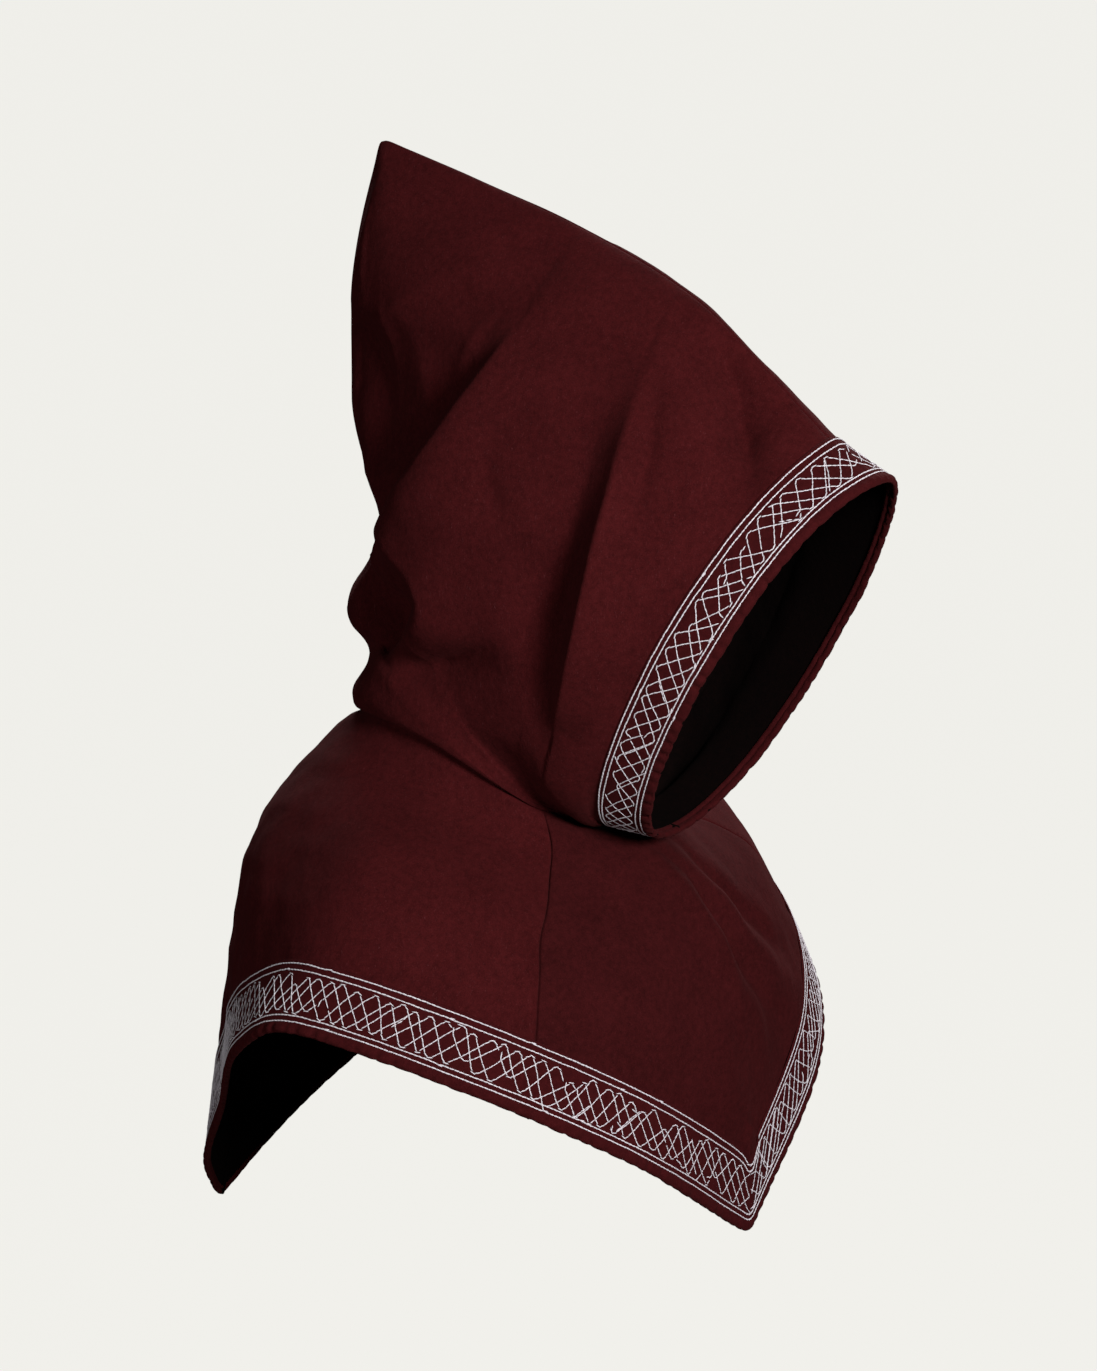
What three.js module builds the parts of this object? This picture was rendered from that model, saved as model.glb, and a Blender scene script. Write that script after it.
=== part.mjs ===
import * as THREE from 'three';

// A pointed cloth hood with a shoulder mantle, in the form it takes when worn.
// Millimetres, +Z up. The wearer faces -Y, and the wearer's right is -X.
// The tables below measure front (towards the face), side (outwards) and up from the
// middle of the neck seam. The origin is the spot under the crown where the head bears.

const clothThickness = 2;
const trimThickness = 1;
const trimLift = 0.35;       // clear space between a trim band and the cloth below it
const seamGap = 0.2;         // half of the gap between two pieces at a seam
const trimWidth = 46;        // width of the hem band, square to the hem
const seatFront = 92;        // where the head bears, from the middle of the neck seam
const seatUp = 339;

const faceBandEnd = 0.1;     // the face band covers this share of the hood's rows
const peakRow = 0.6;         // the row through the peak, where the top line has a corner

const namedRows = (names, rows) => rows.map((row) => (
  Object.fromEntries(names.map((name, k) => [name, row[k]]))
));

// The hood: one row for each section, from the face opening (v = 0) over the peak to the
// neck seam (v = 1). Each section is a closed loop from its top point to its low point.
// widest: where along that line the loop is widest. full: 1 is a diamond, 2 an ellipse.
// bow: how far the middle of the loop lifts. tip: how far its top point leads.
const hoodSections = namedRows(
  ['v', 'topFront', 'topUp', 'lowFront', 'lowUp', 'half', 'widest', 'topFull', 'lowFull', 'bow', 'tip'],
  [
    [0.000, 250, 229, 112, -24, 92, 0.50, 1.95, 2.2, 0, 6],
    [0.100, 215, 251, 77, -21, 99, 0.51, 1.65, 2.3, 0, 4],
    [0.180, 172, 287, 75, -20, 105, 0.50, 1.50, 2.6, 0, 3],
    [0.270, 124, 326, 73, -20, 108, 0.48, 1.45, 2.8, 0, 1],
    [0.380, 50, 361, 70, -19, 108, 0.46, 1.40, 3.0, 0, 0],
    [0.500, -42, 391, 68, -18, 105, 0.43, 1.25, 3.0, 0, 0],
    [peakRow, -121, 414, 65, -18, 101, 0.41, 1.08, 3.0, 0, 0],
    [0.680, -143, 330, 63, -17, 97, 0.44, 1.12, 3.0, 2, 0],
    [0.760, -147, 240, 62, -17, 94, 0.47, 1.30, 3.0, 6, 0],
    [0.840, -132, 160, 60, -16, 94, 0.49, 1.60, 2.9, 12, 0],
    [0.910, -128, 98, 58, -16, 98, 0.50, 1.90, 2.8, 22, 0],
    [0.960, -131, 52, 57, -15, 99, 0.50, 2.00, 2.6, 30, 0],
    [0.985, -128, 34, 56, -15, 94, 0.50, 2.00, 2.5, 33, 0],
    [1.000, -118, 34, 56, -15, 86, 0.50, 2.00, 2.4, 36, 0],
  ],
);
const tipSpread = 0.16;      // the top point leads over this share of the half loop

// The hood's folds, drawn on its side view: from (front0, up0) through (front1, up1) to
// (front2, up2). width0 and width2 are the half widths at the ends; depth is out of the
// cloth. The side is 1 on the wearer's right, -1 on the left and 0 on both.
const hoodFolds = namedRows(
  ['side', 'front0', 'up0', 'front1', 'up1', 'front2', 'up2', 'width0', 'width2', 'depth'],
  [
    [0, -122, 96, -22, 192, 32, 322, 22, 16, 11],
    [0, -128, 146, -50, 226, 6, 334, 25, 20, -21],
    [0, -132, 60, -74, 96, -22, 150, 14, 12, -17],
    [0, -96, 300, -58, 286, -22, 262, 26, 24, -6],
    [0, -52, 74, -8, 92, 40, 104, 11, 12, -5],
    [1, 111, 284, 105, 172, 78, 52, 8, 17, -8],
    [1, 125, 274, 128, 190, 116, 96, 9, 12, 4],
    [1, 134, 280, 138, 244, 139, 206, 6, 7, -3],
    [1, 148, 306, 172, 264, 192, 226, 9, 11, -5],
    [1, 30, 240, 42, 214, 54, 188, 8, 9, -3],
    [-1, 92, 300, 96, 190, 70, 64, 9, 18, -8],
    [-1, 112, 280, 118, 200, 104, 110, 10, 12, 4],
    [-1, 136, 312, 160, 268, 176, 236, 9, 11, -4],
  ],
);
const foldSteps = 24;        // points along a fold's line
const foldEnd = 0.12;        // how far up its swell a fold already is at its ends
const foldRise = 0.7;        // below 1, a fold rises quickly from its ends
const seamCalm = 15;         // the folds fade out over this distance to the centre line
const bandCalm = 0.1;        // and over this share of the rows next to the face band
const neckCalm = 0.06;       // and next to the neck seam

// The mantle: one row for each direction round the neck, in degrees from the front.
// neckDrop: how far its top edge hangs below the hood's. The other columns give the front,
// side and up of three points further down the cloth: collar, chest and hem.
const mantleSections = namedRows(
  [
    'turn', 'neckDrop', 'collarFront', 'collarSide', 'collarUp',
    'chestFront', 'chestSide', 'chestUp', 'hemFront', 'hemSide', 'hemUp',
  ],
  [
    [0, 0.6, 108, 0, -42, 159, 0, -135, 169, 0, -291],
    [32, 3.6, 88, 46, -35, 135, 79, -103, 152, 117, -208],
    [62, 4.0, 49, 80, -19, 80, 139, -66, 76, 202, -146],
    [90, 1.2, -15, 99, 15, -10, 175, -30, -30, 228, -122],
    [118, 0.6, -78, 87, 29, -100, 148, -26, -105, 196, -160],
    [148, 0.6, -121, 52, 26, -166, 91, -47, -200, 94, -256],
    [166, 0.6, -133, 24, 23, -194, 46, -60, -254, 43, -323],
    [180, 0.6, -136, 0, 21, -202, 0, -68, -277, 0, -366],
  ],
);
const mantleKnots = [0, 0.16, 0.5, 1];    // neck, collar, chest and hem along the cloth
const neckPull = 1.1;        // how straight the cloth leaves the neck
const hemPull = 0.9;         // and reaches the hem

// The mantle's folds run down the cloth from turn0 at drop0 to turn1 at drop1. A turn
// below zero is on the wearer's left, and drop is 0 at the neck and 1 at the hem.
const mantleFolds = namedRows(
  ['turn0', 'turn1', 'drop0', 'drop1', 'width', 'depth'],
  [
    [4, -16, 0.12, 0.62, 5, -5],
    [-6, -26, 0.12, 0.60, 5, -4],
    [122, 100, 0.30, 0.85, 9, -7],
    [136, 132, 0.45, 0.90, 4, -3],
    [-112, -96, 0.30, 0.85, 9, -6],
    [-44, -38, 0.70, 1.30, 16, 6],
  ],
);

// The side seam's place round the neck, in degrees from the front
const sideSeam = namedRows(['drop', 'turn'], [[0, 44], [0.6, 55], [1, 51]]);

// How many facets each stretch of cloth is cut into
const facets = {
  hoodRound: 24,
  bandRows: 3,
  crownRows: 15,
  napeRows: 14,
  chestColumns: 6,
  backColumns: 16,
  mantleRows: 9,
  hemRows: 3,
};

// Steps for the slopes of the surfaces, in shares and in degrees
const shareStep = 2e-3;
const turnStep = 0.2;

const clampShare = (value) => THREE.MathUtils.clamp(value, 0, 1);

// The four weights of a smooth curve between two points and their slopes
const hermite = (t) => ({
  start: 2 * t ** 3 - 3 * t ** 2 + 1,
  leave: t ** 3 - 2 * t ** 2 + t,
  end: 3 * t ** 2 - 2 * t ** 3,
  arrive: t ** 3 - t ** 2,
});

// A smooth curve through one column of a table, with a corner at the peak's row
function column(table, knot, key, at) {
  const last = table.length - 1;
  let row = 0;
  while (row < last - 1 && at > table[row + 1][knot]) row += 1;
  const width = (k) => table[k + 1][knot] - table[k][knot];
  const slope = (k) => (table[k + 1][key] - table[k][key]) / width(k);
  const tangent = (k, leaving) => {
    const corner = table[k].v === peakRow;
    if (k === 0 || (corner && leaving)) return slope(k);
    if (k === last || corner) return slope(k - 1);
    if (slope(k - 1) * slope(k) <= 0) return 0;
    return (slope(k - 1) * width(k) + slope(k) * width(k - 1)) / (width(k - 1) + width(k));
  };
  const weight = hermite((at - table[row][knot]) / width(row));
  const bend = tangent(row, true) * weight.leave + tangent(row + 1, false) * weight.arrive;
  return table[row][key] * weight.start + table[row + 1][key] * weight.end + bend * width(row);
}

// Points here are (front, side, up); u runs from -1 (left) over the top seam to 1 (right)
function hoodSurface(u, v) {
  const at = (key) => column(hoodSections, 'v', key, v);
  const angle = Math.PI * Math.abs(u);
  const upward = Math.cos(angle);
  const outward = Math.abs(Math.sin(angle));
  const full = upward > 0 ? at('topFull') : at('lowFull');
  const reach = (Math.abs(upward) ** full + outward ** full) ** (-1 / full);
  const widest = at('widest');
  const share = widest + (upward > 0 ? 1 - widest : widest) * upward * reach;
  const rise = new THREE.Vector2(at('topFront') - at('lowFront'), at('topUp') - at('lowUp'));
  const lead = at('tip') * Math.exp(-((u / tipSpread) ** 2));
  const push = at('bow') * 4 * share * (1 - share) + lead;
  const square = new THREE.Vector2(rise.y, -rise.x).normalize().multiplyScalar(push);
  const front = at('lowFront') + rise.x * share + square.x;
  const up = at('lowUp') + rise.y * share + square.y;
  return new THREE.Vector3(front, Math.sign(u) * at('half') * outward * reach, up);
}

function foldHeight(front, up, side) {
  const spot = new THREE.Vector2(front, up);
  let height = 0;
  for (const fold of hoodFolds) {
    if (fold.side === -side) continue;
    const start = new THREE.Vector2(fold.front0, fold.up0);
    const end = new THREE.Vector2(fold.front2, fold.up2);
    const pull = new THREE.Vector2(fold.front1, fold.up1).multiplyScalar(2);
    pull.addScaledVector(start, -0.5).addScaledVector(end, -0.5);
    const path = new THREE.QuadraticBezierCurve(start, pull, end).getPoints(foldSteps);
    let nearest = 0;
    path.forEach((point, k) => {
      if (point.distanceTo(spot) < path[nearest].distanceTo(spot)) nearest = k;
    });
    const along = nearest / foldSteps;
    const width = THREE.MathUtils.lerp(fold.width0, fold.width2, along);
    const across = Math.exp(-((path[nearest].distanceTo(spot) / width) ** 2));
    const swell = Math.sin(Math.PI * THREE.MathUtils.lerp(foldEnd, 1 - foldEnd, along));
    height += fold.depth * across * swell ** foldRise;
  }
  return height;
}

// The normal of the hood's cloth, from points a little to each side
function hoodNormal(u, v) {
  const along = hoodSurface(u, Math.min(v + shareStep, 1));
  along.sub(hoodSurface(u, Math.max(v - shareStep, 0)));
  const round = hoodSurface(Math.min(u + shareStep, 1), v);
  round.sub(hoodSurface(Math.max(u - shareStep, -1), v));
  return along.cross(round).normalize();
}

function hoodPoint(u, v) {
  const point = hoodSurface(u, v);
  const nearSeam = clampShare(Math.abs(point.y) / seamCalm);
  const nearBand = clampShare((v - faceBandEnd) / bandCalm);
  const fade = nearSeam * nearBand * clampShare((1 - v) / neckCalm);
  if (fade === 0) return point;
  const out = hoodNormal(u, v);
  if (out.y * point.y < 0) out.negate();
  return point.addScaledVector(out, fade * foldHeight(point.x, point.z, Math.sign(u)));
}

// turn in degrees from the front, drop from 0 at the neck to 1 at the hem
function mantleSurface(turn, drop) {
  const away = Math.abs(turn);
  const knotPoint = (name) => new THREE.Vector3(
    column(mantleSections, 'turn', `${name}Front`, away),
    column(mantleSections, 'turn', `${name}Side`, away),
    column(mantleSections, 'turn', `${name}Up`, away),
  );
  const neck = hoodSurface(Math.max(1 - away / 180, Number.EPSILON), 1);
  neck.z -= column(mantleSections, 'turn', 'neckDrop', away);
  const points = [neck, knotPoint('collar'), knotPoint('chest'), knotPoint('hem')];
  const span = (k) => mantleKnots[k + 1] - mantleKnots[k];
  const lean = (k) => points[k + 1].clone().sub(points[k]).divideScalar(span(k));
  const mixed = (k) => {
    const sum = lean(k - 1).multiplyScalar(span(k)).addScaledVector(lean(k), span(k - 1));
    return sum.divideScalar(span(k - 1) + span(k));
  };
  const leans = [lean(0).multiplyScalar(neckPull), mixed(1), mixed(2), lean(2).multiplyScalar(hemPull)];
  let k = 0;
  while (k < 2 && drop > mantleKnots[k + 1]) k += 1;
  const weight = hermite((drop - mantleKnots[k]) / span(k));
  const point = points[k].clone().multiplyScalar(weight.start);
  point.addScaledVector(leans[k], span(k) * weight.leave);
  point.addScaledVector(points[k + 1], weight.end);
  point.addScaledVector(leans[k + 1], span(k) * weight.arrive);
  point.y *= turn < 0 ? -1 : 1;
  return point;
}

function mantlePoint(turn, drop) {
  const point = mantleSurface(turn, drop);
  let height = 0;
  for (const fold of mantleFolds) {
    const along = clampShare((drop - fold.drop0) / (fold.drop1 - fold.drop0));
    const centre = THREE.MathUtils.lerp(fold.turn0, fold.turn1, along);
    const across = Math.exp(-(((turn - centre) / fold.width) ** 2));
    height += fold.depth * across * Math.sin(Math.PI * along);
  }
  if (height === 0) return point;
  const across = mantleSurface(turn + turnStep, drop).sub(mantleSurface(turn - turnStep, drop));
  const down = mantleSurface(turn, Math.min(drop + shareStep, 1));
  down.sub(mantleSurface(turn, Math.max(drop - shareStep, 0)));
  const out = across.cross(down).normalize();
  if (out.z < 0 && out.x * point.x + out.y * point.y < 0) out.negate();
  return point.addScaledVector(out, height);
}

// Where the hem band starts on the way down, so that it is trimWidth wide square to the hem
function bandDrop(turn) {
  const inside = THREE.MathUtils.clamp(Math.abs(turn), 1, 179);
  const nearHem = 0.02;
  const run = mantleSurface(inside + 1, 1).sub(mantleSurface(inside - 1, 1)).normalize();
  const fall = mantleSurface(inside, 1).sub(mantleSurface(inside, 1 - nearHem));
  const square = fall.clone().addScaledVector(run, -fall.dot(run));
  return 1 - nearHem * trimWidth / square.length();
}

const toFrame = (p) => new THREE.Vector3(-p.y, seatFront - p.x, p.z - seatUp);

const evenly = (from, to, count) => (
  Array.from({ length: count + 1 }, (_, k) => from + (to - from) * k / count)
);

// A grid of points over a surface, and for each point the way out of the cloth. The ways
// out are stretched where the grid bends, which keeps a wall even in thickness.
function gridOf(rows, columns, pointAt, upAt) {
  const points = rows.map((row) => columns.map((col) => toFrame(pointAt(row, col))));
  const normals = points.map((line) => line.map(() => new THREE.Vector3()));
  const quads = [];
  for (let i = 0; i < rows.length - 1; i += 1) {
    for (let j = 0; j < columns.length - 1; j += 1) {
      const corners = [[i, j], [i, j + 1], [i + 1, j + 1], [i + 1, j]];
      const [a, b, c, d] = corners.map(([r, s]) => points[r][s]);
      const normal = c.clone().sub(a).cross(d.clone().sub(b)).normalize();
      quads.push({ corners, normal });
      corners.forEach(([r, s]) => normals[r][s].add(normal));
    }
  }
  // the first and last columns are one line of the full loop
  const last = columns.length - 1;
  normals.forEach((line) => {
    line[0].add(line[last]);
    line[last].copy(line[0]);
  });
  normals.flat().forEach((normal) => normal.normalize());
  const flattest = 0.5;
  const worst = points.map((line) => line.map(() => 1));
  for (const { corners, normal } of quads) {
    for (const [r, s] of corners) {
      worst[r][s] = Math.min(worst[r][s], normal.dot(normals[r][s]));
    }
  }
  const outward = Math.sign(normals[upAt.row][upAt.col].z);
  normals.forEach((line, r) => line.forEach((normal, s) => {
    normal.multiplyScalar(outward / Math.max(worst[r][s], flattest));
  }));
  return { points, normals };
}

function volumeOf(position, index) {
  const corner = (k) => new THREE.Vector3().fromArray(position, 3 * index[k]);
  let volume = 0;
  for (let k = 0; k < index.length; k += 3) {
    volume += corner(k).dot(corner(k + 1).cross(corner(k + 2))) / 6;
  }
  return volume;
}

// A closed wall over part of a grid, from span.low to span.high above the grid's surface.
// atEdge moves the points that lie on a seam.
function wallGeometry(grid, span, atEdge) {
  const wide = span.lastCol - span.firstCol + 1;
  const tall = span.lastRow - span.firstRow + 1;
  const position = [];
  for (const height of [span.high, span.low]) {
    for (let i = span.firstRow; i <= span.lastRow; i += 1) {
      for (let j = span.firstCol; j <= span.lastCol; j += 1) {
        const point = grid.points[i][j].clone().addScaledVector(grid.normals[i][j], height);
        atEdge(point, i, j);
        position.push(point.x, point.y, point.z);
      }
    }
  }
  const below = wide * tall;
  const at = (i, j) => i * wide + j;
  const spot = (i, j) => grid.points[span.firstRow + i][span.firstCol + j];
  const index = [];
  const quad = (a, b, c, d) => index.push(a, b, c, a, c, d);
  for (let i = 0; i < tall - 1; i += 1) {
    for (let j = 0; j < wide - 1; j += 1) {
      const [a, b, c, d] = [at(i, j), at(i, j + 1), at(i + 1, j + 1), at(i + 1, j)];
      const down = spot(i, j).distanceTo(spot(i + 1, j + 1));
      const across = spot(i, j + 1).distanceTo(spot(i + 1, j));
      // both faces of the wall are cut along the same, shorter diagonal
      const corners = down <= across ? [a, b, c, d] : [b, c, d, a];
      const [p, q, r, t] = corners.map((k) => k + below);
      quad(...corners);
      index.push(p, r, q, p, t, r);
    }
  }
  for (let i = 0; i < tall - 1; i += 1) {
    quad(at(i, 0), at(i + 1, 0), at(i + 1, 0) + below, at(i, 0) + below);
    const edge = wide - 1;
    quad(at(i + 1, edge), at(i, edge), at(i, edge) + below, at(i + 1, edge) + below);
  }
  for (let j = 0; j < wide - 1; j += 1) {
    quad(at(0, j + 1), at(0, j), at(0, j) + below, at(0, j + 1) + below);
    const edge = tall - 1;
    quad(at(edge, j), at(edge, j + 1), at(edge, j + 1) + below, at(edge, j) + below);
  }
  if (volumeOf(position, index) < 0) index.reverse();
  const geometry = new THREE.BufferGeometry();
  geometry.setAttribute('position', new THREE.Float32BufferAttribute(position, 3));
  geometry.setIndex(index);
  geometry.computeVertexNormals();
  return geometry;
}

const clothWall = { low: -clothThickness, high: 0 };
const trimWall = { low: trimLift, high: trimLift + trimThickness };
const clothFinish = { color: 0x4a1b1c, roughness: 0.95, metalness: 0 };
const trimFinish = { color: 0x3a1213, roughness: 0.9, metalness: 0 };

function pieceOf(name, geometry, finish) {
  const piece = new THREE.Mesh(geometry, new THREE.MeshStandardMaterial(finish));
  piece.name = name;
  return piece;
}

function makeHood() {
  const { hoodRound, bandRows, crownRows, napeRows } = facets;
  const rows = [
    ...evenly(0, faceBandEnd, bandRows),
    ...evenly(faceBandEnd, peakRow, crownRows).slice(1),
    ...evenly(peakRow, 1, napeRows).slice(1),
  ];
  const columns = evenly(-1, 1, 2 * hoodRound);
  const lastRow = rows.length - 1;
  const lastCol = 2 * hoodRound;
  const crown = { row: bandRows + crownRows, col: hoodRound };
  const grid = gridOf(rows, columns, (v, u) => hoodPoint(u, v), crown);
  const left = { firstRow: 0, firstCol: 0, lastCol: hoodRound };
  const right = { firstRow: 0, firstCol: hoodRound, lastCol };
  // each half stays on its own side of the centre line
  const keepTo = (side) => (point, i, j) => {
    if (j % hoodRound === 0) point.x = side * seamGap;
  };
  const wall = (half, side) => wallGeometry(grid, { ...half, ...clothWall, lastRow }, keepTo(side));
  const band = (half, side) => (
    wallGeometry(grid, { ...half, ...trimWall, lastRow: bandRows }, keepTo(side))
  );
  return [
    pieceOf('hood_left', wall(left, 1), clothFinish),
    pieceOf('hood_right', wall(right, -1), clothFinish),
    pieceOf('face_trim_left', band(left, 1), trimFinish),
    pieceOf('face_trim_right', band(right, -1), trimFinish),
  ];
}

function makeMantle() {
  const { chestColumns, backColumns, mantleRows, hemRows } = facets;
  // columns from -2 to 2: the front panel lies between -1 and 1
  const columns = [
    ...evenly(-2, -1, backColumns),
    ...evenly(-1, 1, 2 * chestColumns).slice(1),
    ...evenly(1, 2, backColumns).slice(1),
  ];
  const turnAt = (place, drop) => {
    const away = Math.abs(place);
    const seam = column(sideSeam, 'drop', 'turn', drop);
    const turn = away < 1 ? away * seam : seam + (180 - seam) * (away - 1);
    return Math.sign(place) * turn;
  };
  const lastRow = mantleRows + hemRows;
  const centre = backColumns + chestColumns;
  const lastCol = 2 * centre;
  const leftSeam = backColumns;
  const rightSeam = lastCol - backColumns;
  const pointAt = (row, place) => {
    const bandStart = bandDrop(turnAt(place, 1));
    const drop = row <= mantleRows
      ? bandStart * row / mantleRows
      : bandStart + (1 - bandStart) * (row - mantleRows) / hemRows;
    return mantlePoint(turnAt(place, drop), drop);
  };
  const grid = gridOf(evenly(0, lastRow, lastRow), columns, pointAt, { row: 0, col: centre });
  // at the centre line an edge keeps to its own side; at a side seam it draws back
  const edgesOf = (edges) => (point, i, j) => {
    const edge = edges[j];
    if (!edge) return;
    if (edge.side) {
      point.x = edge.side * seamGap;
      return;
    }
    const back = grid.points[i][j + edge.towards].clone().sub(grid.points[i][j]).normalize();
    point.addScaledVector(back, seamGap);
  };
  const panel = (firstCol, end, edges) => (
    wallGeometry(grid, { ...clothWall, firstRow: 0, lastRow, firstCol, lastCol: end }, edgesOf(edges))
  );
  const band = (firstCol, end, side) => {
    const span = { ...trimWall, firstRow: mantleRows, lastRow, firstCol, lastCol: end };
    return wallGeometry(grid, span, edgesOf({ [firstCol]: { side }, [end]: { side } }));
  };
  const frontEdges = { [leftSeam]: { towards: 1 }, [rightSeam]: { towards: -1 } };
  const leftEdges = { 0: { side: 1 }, [leftSeam]: { towards: -1 } };
  const rightEdges = { [rightSeam]: { towards: 1 }, [lastCol]: { side: -1 } };
  return [
    pieceOf('mantle_front', panel(leftSeam, rightSeam, frontEdges), clothFinish),
    pieceOf('mantle_left', panel(0, leftSeam, leftEdges), clothFinish),
    pieceOf('mantle_right', panel(rightSeam, lastCol, rightEdges), clothFinish),
    pieceOf('hem_trim_left', band(0, centre, 1), trimFinish),
    pieceOf('hem_trim_right', band(centre, lastCol, -1), trimFinish),
  ];
}

const hood = new THREE.Group();
hood.add(...makeHood(), ...makeMantle());

export default hood;
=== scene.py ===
import math

import bpy
import numpy as np
from mathutils import Matrix, Vector


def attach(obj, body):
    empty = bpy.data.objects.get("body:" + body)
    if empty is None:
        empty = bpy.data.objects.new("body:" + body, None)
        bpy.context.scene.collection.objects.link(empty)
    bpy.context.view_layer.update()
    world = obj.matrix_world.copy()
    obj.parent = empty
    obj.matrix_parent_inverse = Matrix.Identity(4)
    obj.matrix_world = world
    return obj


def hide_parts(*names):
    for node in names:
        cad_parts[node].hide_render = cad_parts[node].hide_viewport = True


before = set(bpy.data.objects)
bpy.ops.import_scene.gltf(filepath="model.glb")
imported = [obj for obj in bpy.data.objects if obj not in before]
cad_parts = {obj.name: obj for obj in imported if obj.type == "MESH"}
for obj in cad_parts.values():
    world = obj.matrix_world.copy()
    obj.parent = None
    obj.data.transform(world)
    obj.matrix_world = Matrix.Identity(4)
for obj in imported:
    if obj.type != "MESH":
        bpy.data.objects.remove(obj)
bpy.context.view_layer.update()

# the hood's form, in millimetres: front, side and up from the middle of the neck seam

seatFront = 92.0     # where the head bears, which is the origin of the frame
seatUp = 339.0
clothThickness = 2.0
faceBandEnd = 0.1    # the face band covers this share of the hood's rows
peakRow = 0.6        # the peak stands at this share of them
crown = 1e-6         # just beside the crown seam, where a half has no side
hemEnds = (1e-3, 179.999)                  # degrees, just beside the centre front and the centre back
sides = ((1, "right"), (-1, "left"))       # the wearer's

# one row for each section, from the face opening (v = 0) over the peak to the neck (v = 1)
hoodForm = {
    "columns": "v topFront topUp lowFront lowUp half widest topFull lowFull bow tip",
    "rows": [
        (0.000, 250, 229, 112, -24, 92, 0.50, 1.95, 2.2, 0, 6),
        (0.100, 215, 251, 77, -21, 99, 0.51, 1.65, 2.3, 0, 4),
        (0.180, 172, 287, 75, -20, 105, 0.50, 1.50, 2.6, 0, 3),
        (0.270, 124, 326, 73, -20, 108, 0.48, 1.45, 2.8, 0, 1),
        (0.380, 50, 361, 70, -19, 108, 0.46, 1.40, 3.0, 0, 0),
        (0.500, -42, 391, 68, -18, 105, 0.43, 1.25, 3.0, 0, 0),
        (0.600, -121, 414, 65, -18, 101, 0.41, 1.08, 3.0, 0, 0),
        (0.680, -143, 330, 63, -17, 97, 0.44, 1.12, 3.0, 2, 0),
        (0.760, -147, 240, 62, -17, 94, 0.47, 1.30, 3.0, 6, 0),
        (0.840, -125, 160, 60, -16, 94, 0.49, 1.60, 2.9, 12, 0),
        (0.905, -138, 102, 58, -16, 98, 0.50, 1.90, 2.8, 21, 0),
        (0.937, -126, 74, 57.5, -15.5, 98.5, 0.50, 1.95, 2.7, 26, 0),
        (0.960, -131, 52, 57, -15, 99, 0.50, 2.00, 2.6, 30, 0),
        (0.985, -128, 34, 56, -15, 97, 0.50, 2.00, 2.5, 33, 0),
        (1.000, -118, 34, 56, -15, 91, 0.50, 2.00, 2.4, 36, 0),
    ],
    "tipSpread": 0.16,
}

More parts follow.
